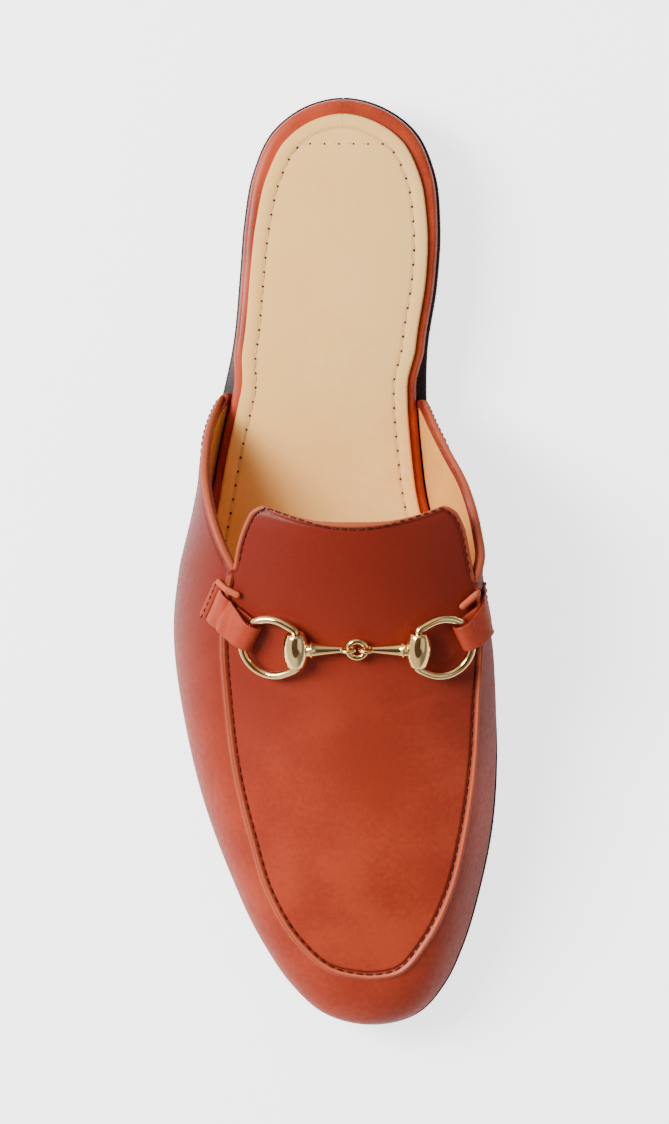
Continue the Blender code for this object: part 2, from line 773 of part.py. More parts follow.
class Section:
    """The taut line over the upper in one plane, with points given by their way along it and height above it."""

    def __init__(self, surface, origin, along, normal):
        inside = origin - normal * SECTION_DEPTH
        flat = []
        for angle in np.linspace(*SECTION_TURN, SECTION_RAYS):
            place = surface.hit(inside, normal * math.cos(angle) + along * math.sin(angle))
            if place is not None:
                flat.append(((place - origin).dot(along), (place - origin).dot(normal)))
        hull = []
        for point in flat:
            while len(hull) > 1 and self.turns_up(hull[-2], hull[-1], point):
                hull.pop()
            hull.append(point)
        self.hull = np.array(hull)
        steps = np.linalg.norm(np.diff(self.hull, axis=0), axis=1)
        arc = np.concatenate([[0.0], np.cumsum(steps)])
        start = np.interp(0.0, self.hull[:, 0], arc)
        self.arc = arc - start
        self.origin, self.along, self.normal = origin, along, normal

    @staticmethod
    def turns_up(first, second, third):
        ax, ay = second[0] - first[0], second[1] - first[1]
        bx, by = third[0] - second[0], third[1] - second[1]
        return ax * by - ay * bx >= 0

    def flat(self, way):
        return np.array([np.interp(way, self.arc, self.hull[:, i]) for i in (0, 1)])

    def nearest(self, point):
        """Way along the line to the place nearest to a point, and the point's distance from it."""
        wanted = np.array([(point - self.origin).dot(self.along), (point - self.origin).dot(self.normal)])
        ways = np.linspace(-NEAR, NEAR, SECTION_RAYS)
        gaps = [np.linalg.norm(wanted - self.flat(way)) for way in ways]
        best = int(np.argmin(gaps))
        return ways[best], gaps[best]

    def at(self, way, height):
        ahead = self.flat(way + PATCH) - self.flat(way - PATCH)
        ahead /= np.linalg.norm(ahead)
        place = self.flat(way) + np.array([-ahead[1], ahead[0]]) * height
        return self.origin + self.along * place[0] + self.normal * place[1]


class Band:
    """A strip of leather over the upper: a few sections side by side, blended across its width."""

    def __init__(self, surface, origin, along, normal, full_width):
        self.full_width = full_width
        self.across = normal.cross(along).normalized()
        self.sections = []
        for share in np.linspace(-0.5, 0.5, BAND_SECTIONS):
            shifted = origin + self.across * full_width * float(share)
            place = surface.hit(shifted - normal * SECTION_DEPTH, normal)
            self.sections.append(Section(surface, place, along, normal))

    def heights(self, point):
        """How high a straight wire through a point passes above each section."""
        return np.array([section.nearest(point)[1] for section in self.sections])

    def at(self, way, height, offset, rises):
        """A point of the strip, with each section's own rise added to the height."""
        place = (offset / self.full_width + 0.5) * (BAND_SECTIONS - 1)
        near = min(max(int(place), 0), BAND_SECTIONS - 2)
        ends = [self.sections[i].at(way, height + rises[i]) for i in (near, near + 1)]
        return ends[0].lerp(ends[1], place - near)


def ribbon(name, band, path, widths, thicknesses, rises, follow):
    """A strip along a path of (way, height) points, as wide and thick at each point as the lists say. Each section's
    rise counts by the share in follow."""
    path = np.array(path)
    ahead = np.gradient(path, axis=0)
    ahead /= np.linalg.norm(ahead, axis=1)[:, None]
    square = np.stack([-ahead[:, 1], ahead[:, 0]], axis=1)
    rings = []
    for place, side, width, thickness, share in zip(path, square, widths, thicknesses, follow):
        upper, lower = place + side * thickness / 2, place - side * thickness / 2
        offsets = width * np.linspace(-0.5, 0.5, BAND_SECTIONS)
        ring = [band.at(*upper, offset, rises * share) for offset in offsets]
        ring += [band.at(*lower, offset, rises * share) for offset in reversed(offsets)]
        rings.append(ring)
    return loft(name, rings)


def strap_path(wire_height, wire_shift, length):
    """The strap's middle line: over the wire from the slit, round it and back under itself. The wire bows inwards
    by wire_shift across the strap's width."""
    flat = STRAP_LIFT + STRAP_THICKNESS / 2
    second = flat + STRAP_THICKNESS + GAP
    turn = RING_WIRE + STRAP_EASE + STRAP_THICKNESS / 2
    rise_start, rise_end = STRAP_TUCK + STRAP_STEP_OUT, STRAP_TUCK + GAP
    path = [(way, flat) for way in np.linspace(length, rise_start, STRAP_FLAT_POINTS)]
    path += [((rise_start + rise_end) / 2, (flat + second) / 2), (rise_end, second)]
    top_turn = math.radians(STRAP_TOP_TURN)
    top = np.array([turn * math.sin(top_turn), wire_height + turn * math.cos(top_turn)])
    start = np.array(path[-1])
    path += [tuple(start + (top - start) * share) for share in UNDER_SHARES[:-1]]
    for degrees in (STRAP_TOP_TURN, STRAP_TOP_TURN / 2, 0):
        angle = math.radians(degrees)
        path.append((turn * math.sin(angle), wire_height + turn * math.cos(angle)))
    for degrees in range(0, 181, STRAP_TURN_STEP):
        angle = math.radians(degrees)
        path.append((-wire_shift - turn * math.sin(angle), wire_height + turn * math.cos(angle)))
    path.append((0.0, max(flat, wire_height - turn)))
    path += [(STRAP_TUCK * share, flat) for share in UNDER_SHARES]
    return path


def bit_frame(surface, side):
    """Where one half of the bit lies: the link's centre, the barrel's centre, and the ring's plane."""
    sign = 1.0 if side == "lateral" else -1.0
    link_x, link_y = LINK_PLACE[0] * BALL_WIDTH, LINK_PLACE[1] * LENGTH
    place, normal = surface.below(link_x, link_y)
    link = place + normal * (EYE_RADIUS + EYE_WIRE + GAP)
    sweep = Vector((sign * math.cos(BIT_SWEEP), -math.sin(BIT_SWEEP), 0.0))
    reach = BIT_HALF_LENGTH * math.cos(BARREL_FALL)
    place, normal = surface.below(link_x + sweep.x * reach, link_y + sweep.y * reach)
    barrel = link + (place + normal * (BARREL_RADIUS + GAP) - link).normalized() * BIT_HALF_LENGTH
    reach += (RING_SETBACK + RING_RADIUS) * math.cos(RING_FALL)
    place, outer_normal = surface.below(link_x + sweep.x * reach, link_y + sweep.y * reach)
    outer = place + outer_normal * WIRE_HEIGHT
    frame = ring_frame(link, barrel, outer, normal)
    for _ in range(RING_LIFTS):
        wire, band = strap_band(surface, frame)
        outer += frame[3] * max(0.0, WIRE_HEIGHT - float(band.heights(wire).min()))
        frame = ring_frame(link, barrel, outer, normal)
    return frame


def ring_frame(link, barrel, outer, normal):
    ahead = (outer - barrel).normalized()
    up = (normal - ahead * normal.dot(ahead)).normalized()
    return link, barrel, ahead, up


def strap_band(surface, frame):
    """The place on the ring's wire that the strap holds, and the strip of leather from there to the slit."""
    link, barrel, ahead, up = frame
    rearward = up.cross(ahead)
    if rearward.y > 0:
        rearward = -rearward
    outward = ahead * math.cos(STRAP_TURN) + rearward * math.sin(STRAP_TURN)
    wire = barrel + ahead * RING_SETBACK + outward * RING_RADIUS
    place = surface.hit(wire - up * SECTION_DEPTH, up)
    return wire, Band(surface, place, outward, up, STRAP_WIDTH_AT_SLIT)


def ring_points(barrel, ahead, up):
    """Middle line of one D-ring: straight through the barrel, round outside it."""
    side = up.cross(ahead)
    edge = np.array([RING_SETBACK + RING_RADIUS * math.cos(RING_BEND), RING_RADIUS * math.sin(RING_BEND)])
    slope = np.array([-math.sin(RING_BEND), math.cos(RING_BEND)])
    corner = edge + slope * (edge[0] / -slope[0])
    straight = np.array([0.0, BARREL_LENGTH / 2 + GAP])
    flat = [(0.0, 0.0)]
    for share in np.arange(RING_BEND_POINTS) / RING_BEND_POINTS:
        flat.append(straight * (1 - share) ** 2 + 2 * corner * share * (1 - share) + edge * share**2)
    for angle in np.linspace(RING_BEND, 0.0, RING_ROUND_POINTS):
        flat.append((RING_SETBACK + RING_RADIUS * math.cos(angle), RING_RADIUS * math.sin(angle)))
    mirrored = [(x, -y) for x, y in flat[1:-1]]
    flat += mirrored[::-1]
    return [barrel + ahead * float(x) + side * float(y) for x, y in flat]


def wire_object(name, points, radius, material, collection):
    """A closed wire through points."""
    curve = bpy.data.curves.new(name, "CURVE")
    curve.dimensions = "3D"
    curve.bevel_depth = radius
    curve.bevel_resolution = 2
    spline = curve.splines.new("POLY")
    spline.points.add(len(points) - 1)
    for target, point in zip(spline.points, points):
        target.co = (*point, 1.0)
    spline.use_cyclic_u = True
    spline.use_smooth = True
    curve.materials.append(material)
    obj = bpy.data.objects.new(name, curve)
    collection.objects.link(obj)
    return obj


def turned(name, profile, steps, material, collection, closed=False):
    """A profile of (radius, height) points turned about the local Z axis."""
    mesh = bpy.data.meshes.new(name)
    points = [(radius, 0.0, height) for radius, height in profile]
    edges = [(i, i + 1) for i in range(len(points) - 1)]
    if closed:
        edges.append((len(points) - 1, 0))
    mesh.from_pydata(points, edges, [])
    obj = add_object(name, mesh, material, collection)
    screw = obj.modifiers.new("Turn", "SCREW")
    screw.steps = steps
    screw.render_steps = steps
    screw.use_merge_vertices = True
    screw.merge_threshold = 1e-5
    screw.use_smooth_shade = True
    return obj


def hide_helper(obj):
    obj.hide_render = True
    obj.display_type = "WIRE"


def join_to(obj, helper):
    join = obj.modifiers.new("Join " + helper.name, "BOOLEAN")
    join.operation = "UNION"
    join.object = helper
    hide_helper(helper)


def mouthpiece_axes(frame):
    """Directions of one half of the mouthpiece: towards the link, square to the leather and along the barrel."""
    link, barrel, ahead, up = frame
    inward = (link - barrel).normalized()
    axis = up.cross(ahead).normalized()
    inward = (inward - axis * inward.dot(axis)).normalized()
    return inward, axis.cross(inward), axis


def make_mouthpiece(side, frame, material, parts, helpers):
    """One half of the mouthpiece: a barrel bored for the ring, a cone towards the middle and the eye at its end."""
    barrel = frame[1]
    inward, height, axis = mouthpiece_axes(frame)
    turn = Matrix((inward, height, axis)).transposed().to_4x4()
    place = Matrix.Translation(barrel) @ turn
    half = BARREL_LENGTH / 2
    rise = BARREL_RADIUS - BARREL_END_RADIUS
    bore = RING_WIRE + GAP
    outer = []
    for share in BARREL_SHARES:
        outer.append((BARREL_END_RADIUS + rise * (1 - share * share), half * share))
    piece = turned(
        "mouthpiece_" + side, outer + [(bore, -half), (bore, half)], 20, material, parts, closed=True
    )
    piece.matrix_world = place
    tip = EYE_REACH - EYE_RADIUS + 0.3 * EYE_WIRE
    root = (bore + BARREL_RADIUS) / 2
    flange = BARREL_RADIUS + COLLAR_OFFSET
    profile = [
        (0.0, tip),
        (CONE_TIP_RADIUS, tip),
        (CONE_NECK_RADIUS, tip - CONE_NECK_LENGTH),
        (CONE_RADIUS, flange + COLLAR_LENGTH + COLLAR_CHAMFER),
        (COLLAR_RADIUS, flange + COLLAR_LENGTH),
        (COLLAR_RADIUS, flange),
        (CONE_RADIUS, flange - COLLAR_CHAMFER),
        (CONE_RADIUS, root),
        (0.0, root),
    ]
    cone = turned("cone_" + side, profile, 12, material, helpers)
    cone.matrix_world = place @ Matrix.Rotation(math.radians(90), 4, "Y")
    join_to(piece, cone)
    bpy.ops.mesh.primitive_torus_add(
        major_radius=EYE_RADIUS, minor_radius=EYE_WIRE, major_segments=16, minor_segments=8
    )
    eye = bpy.context.active_object
    eye.name = "eye_" + side
    for collection in list(eye.users_collection):
        collection.objects.unlink(eye)
    helpers.objects.link(eye)
    eye.matrix_world = place @ Matrix.Translation((EYE_REACH, 0.0, 0.0))
    join_to(piece, eye)
    return piece


def make_centre_link(frames, material, parts):
    """The round link that holds both eyes, its wire through the middle of each."""
    lateral, medial = [frame[1] + mouthpiece_axes(frame)[0] * EYE_REACH for frame in frames]
    across = (lateral - medial).normalized()
    up = sum((mouthpiece_axes(frame)[1] for frame in frames), Vector())
    up = (up - across * up.dot(across)).normalized()
    bpy.ops.mesh.primitive_torus_add(
        major_radius=LINK_RADIUS, minor_radius=LINK_WIRE, major_segments=20, minor_segments=10
    )
    link = bpy.context.active_object
    link.name = "centre_link"
    link.data.materials.append(material)
    link.data.shade_smooth()
    for collection in list(link.users_collection):
        collection.objects.unlink(link)
    parts.objects.link(link)
    turn = Matrix((across, up.cross(across), up)).transposed().to_4x4()
    link.matrix_world = Matrix.Translation((lateral + medial) / 2) @ turn


def make_strap(surface, side, frame, material, parts):
    """The strap tab: from its slit in the quarter over the ring's wire, round it and back under itself."""
    wire, band = strap_band(surface, frame)
    start, height = band.sections[BAND_SECTIONS // 2].nearest(wire)
    shift = RING_RADIUS - math.sqrt(RING_RADIUS**2 - (STRAP_WIDTH_AT_RING / 2) ** 2)
    path = strap_path(height, shift, STRAP_LENGTH - start)
    widths = []
    for way, _ in path:
        share = min(max(way / STRAP_LENGTH, 0.0), 1.0)
        widths.append(STRAP_WIDTH_AT_RING + (STRAP_WIDTH_AT_SLIT - STRAP_WIDTH_AT_RING) * share)
    thicknesses = [STRAP_THICKNESS] * len(path)
    for end, share in enumerate(STRAP_END_THINNING):
        thicknesses[end] = share * STRAP_THICKNESS
        path[end] = (path[end][0], STRAP_LIFT + thicknesses[end] / 2)
    # The folded end follows the wire, and the end at the slit follows the leather.
    follow = [1 - float(smooth_step((way - STRAP_TUCK) / STRAP_STEP_OUT)) for way, _ in path]
    follow[-len(UNDER_SHARES) :] = [0.0] * len(UNDER_SHARES)
    path = [(start + way, rise) for way, rise in path]
    mesh = ribbon("strap_" + side, band, path, widths, thicknesses, band.heights(wire) - height, follow)
    add_object("strap_" + side, mesh, material, parts)


def make_notch_bar(surface, side, material, parts):
    """The short bar across the foot of the notch between quarter and tongue."""
    ends = []
    for x, y in NOTCH_BAR_ENDS[side]:
        ends.append(surface.below(x * BALL_WIDTH, y * LENGTH))
    (outer, outer_normal), (inner, inner_normal) = ends
    normal = (outer_normal + inner_normal).normalized()
    along = outer - inner
    along = (along - normal * along.dot(normal)).normalized()
    band = Band(surface, inner, along, normal, BAR_WIDTH)
    length = (outer - inner).length
    height = STRAP_LIFT + BAR_THICKNESS / 2
    path = [(length * share, height) for share in BAR_SHARES]
    thicknesses = [BAR_THICKNESS] * len(path)
    thicknesses[0] = thicknesses[-1] = BAR_THICKNESS / 2
    path[0] = (0.0, STRAP_LIFT + thicknesses[0] / 2)
    path[-1] = (length, STRAP_LIFT + thicknesses[-1] / 2)
    level = [0.0] * len(path)
    mesh = ribbon("notch_bar_" + side, band, path, [BAR_WIDTH] * len(path), thicknesses, np.zeros(BAND_SECTIONS), level)
    add_object("notch_bar_" + side, mesh, material, parts)


def centre_on_floor(parts, frame):
    """Moves the empty so that the origin lies on the floor under the middle of the shoe."""
    bpy.context.view_layer.update()
    graph = bpy.context.evaluated_depsgraph_get()
    corners = []
    for obj in parts.objects:
        if obj == frame:
            continue
        evaluated = obj.evaluated_get(graph)
        mesh = evaluated.to_mesh()
        corners += [evaluated.matrix_world @ v.co for v in mesh.vertices]
        evaluated.to_mesh_clear()
    points = np.array([tuple(c) for c in corners])
    middle = (points.min(axis=0) + points.max(axis=0)) / 2
    frame.location = (-middle[0], -middle[1], -points[:, 2].min())


def main():
    clear_scene()
    parts = make_collection(PART_NAME)
    helpers = make_collection("joined_forms")
    frame = bpy.data.objects.new(PART_NAME + "_frame", None)
    parts.objects.link(frame)
    upper_leather = make_material("upper_leather", (0.42, 0.065, 0.025), 0.42)
    rand_leather = make_material("rand_leather", (0.50, 0.11, 0.05), 0.40)
    sock_leather = make_material("sock_leather", (0.88, 0.61, 0.33), 0.55)
    sole_leather = make_material("sole_leather", (0.035, 0.018, 0.012), 0.50)
    heel_rubber = make_material("heel_rubber", (0.020, 0.015, 0.013), 0.75)
    bit_metal = make_material("bit_metal", (0.86, 0.62, 0.34), 0.16, 1.0)
    outline = Outline()
    make_outsole(outline, sole_leather, parts)
    make_heel(outline, sole_leather, heel_rubber, parts)
    make_footbed(outline, rand_leather, sock_leather, parts)
    upper = make_upper(outline, upper_leather, parts)
    bpy.context.view_layer.update()
    surface = Surface(upper)
    frames = [bit_frame(surface, side) for side in SIDES]
    for side, bit in zip(SIDES, frames):
        wire_object("ring_" + side, ring_points(*bit[1:]), RING_WIRE, bit_metal, parts)
        make_mouthpiece(side, bit, bit_metal, parts, helpers)
        make_strap(surface, side, bit, upper_leather, parts)
        make_notch_bar(surface, side, upper_leather, parts)
    make_centre_link(frames, bit_metal, parts)
    for obj in list(parts.objects) + list(helpers.objects):
        if obj != frame:
            obj.parent = frame
    centre_on_floor(parts, frame)


main()
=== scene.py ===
# %% [markdown]
# # A backless bit loafer, dressed over its solids
#
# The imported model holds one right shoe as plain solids: sole, heel, board, sock, upper, straps and
# snaffle bit. This notebook loads it as a fixed frame and makes the pieces that are seen: the same
# forms, finer, with rolled edges, a raised seam, stitches, grain and polish. Each step says what the
# piece is on the real shoe and why it is made the way it is.

import json
import math

import bmesh
import bpy
import numpy as np
from mathutils import Matrix, Vector
from mathutils.bvhtree import BVHTree
from mathutils.kdtree import KDTree

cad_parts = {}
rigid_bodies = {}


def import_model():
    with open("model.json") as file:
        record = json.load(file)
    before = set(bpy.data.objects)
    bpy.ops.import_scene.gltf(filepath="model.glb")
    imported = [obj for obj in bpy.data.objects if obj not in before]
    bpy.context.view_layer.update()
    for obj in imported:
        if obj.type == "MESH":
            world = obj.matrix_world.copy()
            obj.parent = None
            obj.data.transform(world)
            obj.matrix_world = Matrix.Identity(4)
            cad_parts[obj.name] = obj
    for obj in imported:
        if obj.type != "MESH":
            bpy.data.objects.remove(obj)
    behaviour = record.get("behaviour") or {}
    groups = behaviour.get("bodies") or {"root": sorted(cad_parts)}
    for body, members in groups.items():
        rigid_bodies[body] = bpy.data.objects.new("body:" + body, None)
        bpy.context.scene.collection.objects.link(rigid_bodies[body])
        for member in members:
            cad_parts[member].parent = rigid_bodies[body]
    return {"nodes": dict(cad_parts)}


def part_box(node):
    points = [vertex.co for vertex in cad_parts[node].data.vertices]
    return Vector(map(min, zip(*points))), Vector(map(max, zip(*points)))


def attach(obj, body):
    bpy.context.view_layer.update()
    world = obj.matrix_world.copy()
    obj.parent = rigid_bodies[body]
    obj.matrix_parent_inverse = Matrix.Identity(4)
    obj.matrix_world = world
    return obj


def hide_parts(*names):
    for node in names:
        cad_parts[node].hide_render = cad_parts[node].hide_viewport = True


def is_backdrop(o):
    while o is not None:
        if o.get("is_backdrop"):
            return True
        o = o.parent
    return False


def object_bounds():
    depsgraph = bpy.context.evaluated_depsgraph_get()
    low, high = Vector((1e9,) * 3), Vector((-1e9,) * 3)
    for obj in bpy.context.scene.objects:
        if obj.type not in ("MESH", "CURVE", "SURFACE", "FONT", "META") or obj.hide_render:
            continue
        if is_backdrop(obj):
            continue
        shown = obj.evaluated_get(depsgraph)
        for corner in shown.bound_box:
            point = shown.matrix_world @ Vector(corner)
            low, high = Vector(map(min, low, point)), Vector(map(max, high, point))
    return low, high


for startup_object in list(bpy.data.objects):
    bpy.data.objects.remove(startup_object, do_unlink=True)

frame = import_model()
cad_low, cad_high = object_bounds()
print("solids:", sorted(frame["nodes"]))

# %% [markdown]
# ## The shoe's sizes
#
# A shoe is drawn from a few sizes: its length, the width at the ball, the rise of the instep and the
# height of the heel. Its tables are shares of them, and thicknesses and small forms are in metres. All of
# them are the solids' own, so the dressed pieces fall on the solids. The shoe is drawn with its heel back
# at y = 0 and its toe towards +Y, and each finished piece is moved by one shift into the frame.

# %% Sizes in metres
LENGTH = 0.258
BALL_WIDTH = 0.090
INSTEP_RISE = 0.060
HEEL_HEIGHT = 0.0145
TOE_SPRING = 0.0085

WALL = 0.0018
SOLE_THICKNESS = 0.0045
BOARD_THICKNESS = 0.0040
SOCK_THICKNESS = 0.0012
TOP_LIFT_THICKNESS = 0.0050
HEEL_LENGTH = 0.060
HEEL_TAPER = 0.0010

GAP = 0.0003
SOLE_MARGIN = 0.0006
BOARD_FIT = 0.0004
BOARD_TOE_EASE = 0.0010
BOARD_MARGIN = 0.0008
SOCK_MARGIN_BACK = 0.0042
SOCK_MARGIN_SIDE = 0.0024

SEAT_END = 0.24
BALL_START = 0.62
SPRING_START = 0.74
SPRING_POWER = 1.7
BOARD_STEP = (0.270, 0.312)
BOARD_EASE = (0.86, 0.96)
SOCK_BACK_END = 0.20

# Sole outline from the toe round the lateral side to the heel and back along the medial side.
# Columns: y as a share of LENGTH, x as a share of BALL_WIDTH
OUTLINE = [
    (1.000, -0.079),
    (0.986, 0.069),
    (0.953, 0.166),
    (0.915, 0.232),
    (0.837, 0.336),
    (0.760, 0.418),
    (0.682, 0.473),
    (0.612, 0.504),
    (0.562, 0.507),
    (0.504, 0.482),
    (0.434, 0.444),
    (0.372, 0.410),
    (0.326, 0.379),
    (0.269, 0.343),
    (0.192, 0.321),
    (0.136, 0.308),
    (0.081, 0.280),
    (0.037, 0.221),
    (0.010, 0.122),
    (0.000, 0.003),
    (0.010, -0.120),
    (0.037, -0.224),
    (0.081, -0.282),
    (0.136, -0.299),
    (0.202, -0.289),
    (0.269, -0.260),
    (0.326, -0.256),
    (0.380, -0.267),
    (0.430, -0.285),
    (0.481, -0.327),
    (0.535, -0.384),
    (0.589, -0.436),
    (0.651, -0.466),
    (0.721, -0.473),
    (0.783, -0.461),
    (0.853, -0.422),
    (0.915, -0.369),
    (0.953, -0.318),
    (0.986, -0.236),
]

OUTLINE_SAMPLES = 4001

# %% [markdown]
# ## Curves through few points
#
# A last has no straight lines, so short tables are joined by smooth curves. One kind runs through
# points and follows the distances between them. The other runs through single values and never
# overshoots, which keeps a height from bulging between two rows.


# %% Curve helpers
def arc_lengths(points):
    """How far along a line of points each point lies."""
    return np.concatenate([[0.0], np.cumsum(np.linalg.norm(np.diff(points, axis=0), axis=1))])


def smooth_curve(rows, closed=False):
    """A smooth curve through rows of numbers, as a function of 0 to 1.

    Its knots follow the distances between the rows."""
    points = np.array(rows, float)
    if closed:
        points = np.vstack([points, points[:1]])
    steps = np.linalg.norm(np.diff(points, axis=0), axis=1)
    knots = np.concatenate([[0.0], np.cumsum(steps)])
    slopes = np.diff(points, axis=0) / steps[:, None]
    tangents = np.empty_like(points)
    weights = steps[:-1, None] + steps[1:, None]
    tangents[1:-1] = (slopes[:-1] * steps[1:, None] + slopes[1:] * steps[:-1, None]) / weights
    if closed:
        joined = slopes[-1] * steps[0] + slopes[0] * steps[-1]
        tangents[0] = tangents[-1] = joined / (steps[0] + steps[-1])
    else:
        tangents[0] = 1.5 * slopes[0] - 0.5 * tangents[1]
        tangents[-1] = 1.5 * slopes[-1] - 0.5 * tangents[-2]

    def at(share):
        place = np.clip(np.atleast_1d(share), 0.0, 1.0) * knots[-1]
        i = np.clip(np.searchsorted(knots, place, side="right") - 1, 0, len(steps) - 1)
        t = ((place - knots[i]) / steps[i])[:, None]
        h = steps[i][:, None]
        near = (1 + 2 * t) * (1 - t) ** 2 * points[i] + t * (1 - t) ** 2 * h * tangents[i]
        far = t**2 * (3 - 2 * t) * points[i + 1] - t**2 * (1 - t) * h * tangents[i + 1]
        return near + far

    return at


def smooth_values(knots, values):
    """A smooth curve of single values over given knots, which keeps between its neighbours."""
    knots = np.asarray(knots, float)
    values = np.asarray(values, float)
    steps = np.diff(knots)
    slopes = np.diff(values) / steps
    tangents = np.zeros_like(values)
    same = slopes[:-1] * slopes[1:] > 0
    mean = 2 * slopes[:-1] * slopes[1:] / np.where(same, slopes[:-1] + slopes[1:], 1.0)
    tangents[1:-1] = np.where(same, mean, 0.0)
    tangents[0] = slopes[0]
    tangents[-1] = slopes[-1]

    def at(places):
        i = np.clip(np.searchsorted(knots, places, side="right") - 1, 0, len(steps) - 1)
        t = (places - knots[i]) / steps[i]
        h = steps[i]
        near = (1 + 2 * t) * (1 - t) ** 2 * values[i] + t * (1 - t) ** 2 * h * tangents[i]
        far = t**2 * (3 - 2 * t) * values[i + 1] - t**2 * (1 - t) * h * tangents[i + 1]
        return near + far

    return at


def smooth_step(value):
    t = np.clip(value, 0.0, 1.0)
    return t * t * (3 - 2 * t)


def bell(value, width):
    """A soft bump that is 1 at zero and fades away over about twice its width."""
    return np.exp(-((np.asarray(value) / width) ** 2))


# %% Side view and plan of the sole
def tread_height(y):
    """Height of the underside of the outsole above the floor."""
    share = np.asarray(y, float) / LENGTH
    waist = smooth_step((share - SEAT_END) / (BALL_START - SEAT_END))
    lift = np.clip((share - SPRING_START) / (1 - SPRING_START), 0.0, None)
    return HEEL_HEIGHT * (1 - waist) + TOE_SPRING * lift**SPRING_POWER


def seat_height(y):
    """Height of the upper face of the outsole."""
    return tread_height(y) + SOLE_THICKNESS


class Outline:
    """The sole's plan outline, with insets measured square to it."""

    def __init__(self):
        curve = smooth_curve([(x * BALL_WIDTH, y * LENGTH) for y, x in OUTLINE], closed=True)
        self.shares = np.linspace(0.0, 1.0, OUTLINE_SAMPLES)
        self.points = curve(self.shares)
        step = np.gradient(self.points, axis=0)
        step[0] = step[-1] = self.points[1] - self.points[-2]
        step /= np.linalg.norm(step, axis=1)[:, None]
        self.inward = np.stack([step[:, 1], -step[:, 0]], axis=1)
        self.heel = int(np.argmin(self.points[:, 1]))
        self.toe = int(np.argmax(self.points[: self.heel, 1]))

    def share_at(self, y, side):
        """Share of the outline where one side reaches y."""
        if side == "lateral":
            piece = slice(self.toe, self.heel + 1)
            return np.interp(-np.asarray(y), -self.points[piece, 1], self.shares[piece])
        piece = slice(self.heel, len(self.shares))
        return np.interp(y, self.points[piece, 1], self.shares[piece])

    def at(self, share, inset=0.0):
        place = np.stack([np.interp(share, self.shares, self.points[:, i]) for i in (0, 1)], axis=-1)
        inward = np.stack([np.interp(share, self.shares, self.inward[:, i]) for i in (0, 1)], axis=-1)
        inward /= np.linalg.norm(inward, axis=-1, keepdims=True)
        return place + inward * np.asarray(inset)[..., None]


outline = Outline()
outsole_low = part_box("outsole")[0]
drawn_low = outline.points.min(axis=0)
SHIFT = Vector((outsole_low.x - drawn_low[0], outsole_low.y - drawn_low[1], 0.0))
print("shift from the drawing to the frame in mm:", [round(v * 1000, 2) for v in SHIFT])

# %% [markdown]
# ## Finishing a piece
#
# Every piece is modelled in the drawing's coordinates as a mesh. Before it is attached, its points are
# moved by the shift, so that its object stays at the origin, unturned and unscaled. Then it rides on the
# one body of the shoe, and the solids it stands for are hidden.


# %% Piece helpers
def add_object(name, data):
    obj = bpy.data.objects.new(name, data)
    bpy.context.scene.collection.objects.link(obj)
    return obj


def mesh_object(name, points, faces):
    mesh = bpy.data.meshes.new(name)
    mesh.from_pydata([tuple(p) for p in points], [], [tuple(f) for f in faces])
    mesh.validate()
    mesh.shade_smooth()
    return add_object(name, mesh)


def bake(obj):
    """Turns an object with modifiers, or a curve, into a plain mesh object of the same name."""
    bpy.context.view_layer.update()
    graph = bpy.context.evaluated_depsgraph_get()
    mesh = bpy.data.meshes.new_from_object(obj.evaluated_get(graph))
    mesh.transform(obj.matrix_world)
    name = obj.name
    bpy.data.objects.remove(obj, do_unlink=True)
    mesh.name = name
    return add_object(name, mesh)


def finish_piece(obj, slot, *nodes):
    obj.data.transform(Matrix.Translation(SHIFT))
    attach(obj, "root")
    if nodes:
        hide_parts(*nodes)
    obj.data.calc_loop_triangles()
    print(obj.name, len(obj.data.loop_triangles), "triangles")
    return obj


def point_values(obj, name, values):
    """Keeps one number for each vertex, for the material to read."""
    attribute = obj.data.attributes.new(name, "FLOAT", "POINT")
    attribute.data.foreach_set("value", np.asarray(values, np.float32))


# How near points are welded, how far apart the halves of an open end lie, and how sharp an edge is kept
WELD = 2e-6
OPEN_END = 1e-5
SHARP_ANGLE = math.radians(50)


def shape_object(name, shape, weld, sharp_angle):
    """Welds a shape, turns its faces outwards and makes it a smooth object with its sharp edges kept."""
    bmesh.ops.remove_doubles(shape, verts=shape.verts, dist=weld)
    bmesh.ops.recalc_face_normals(shape, faces=shape.faces)
    mesh = bpy.data.meshes.new(name)
    shape.to_mesh(mesh)
    shape.free()
    mesh.shade_smooth()
    mesh.set_sharp_from_angle(angle=sharp_angle)
    return add_object(name, mesh)


def loft(name, rings):
    """A closed body through rings of points. An end ring whose two halves fall together needs no cap."""
    shape = bmesh.new()
    rows = [[shape.verts.new(point) for point in ring] for ring in rings]
    around = len(rows[0])
    for near, far in zip(rows, rows[1:]):
        for k in range(around):
            n = (k + 1) % around
            shape.faces.new((near[k], near[n], far[n], far[k]))
    for row in (rows[0], rows[-1]):
        if max((near.co - far.co).length for near, far in zip(row, reversed(row))) > OPEN_END:
            shape.faces.new(row)
    return shape_object(name, shape, WELD, SHARP_ANGLE)


# %% [markdown]
# ## Shared effects
#
# Leather is one idea used many times here: upper, rand, lining, sock and sole. Its grain and its drift
# of colour are therefore shader node groups with named inputs, built once and placed in each material
# with that material's own values. The groups put out only colours and heights, and each material keeps
# its own Principled shader.


# %% Node helpers
def add_node(tree, kind, **settings):
    node = tree.nodes.new(kind)
    for key, value in settings.items():
        setattr(node, key, value)
    return node


def feed(tree, socket, value):
    """Gives a socket another node's output, or a plain number or colour."""
    if hasattr(value, "default_value"):
        tree.links.new(value, socket)
    elif isinstance(value, tuple) and len(value) == 3:
        socket.default_value = (*value, 1.0)
    else:
        socket.default_value = value


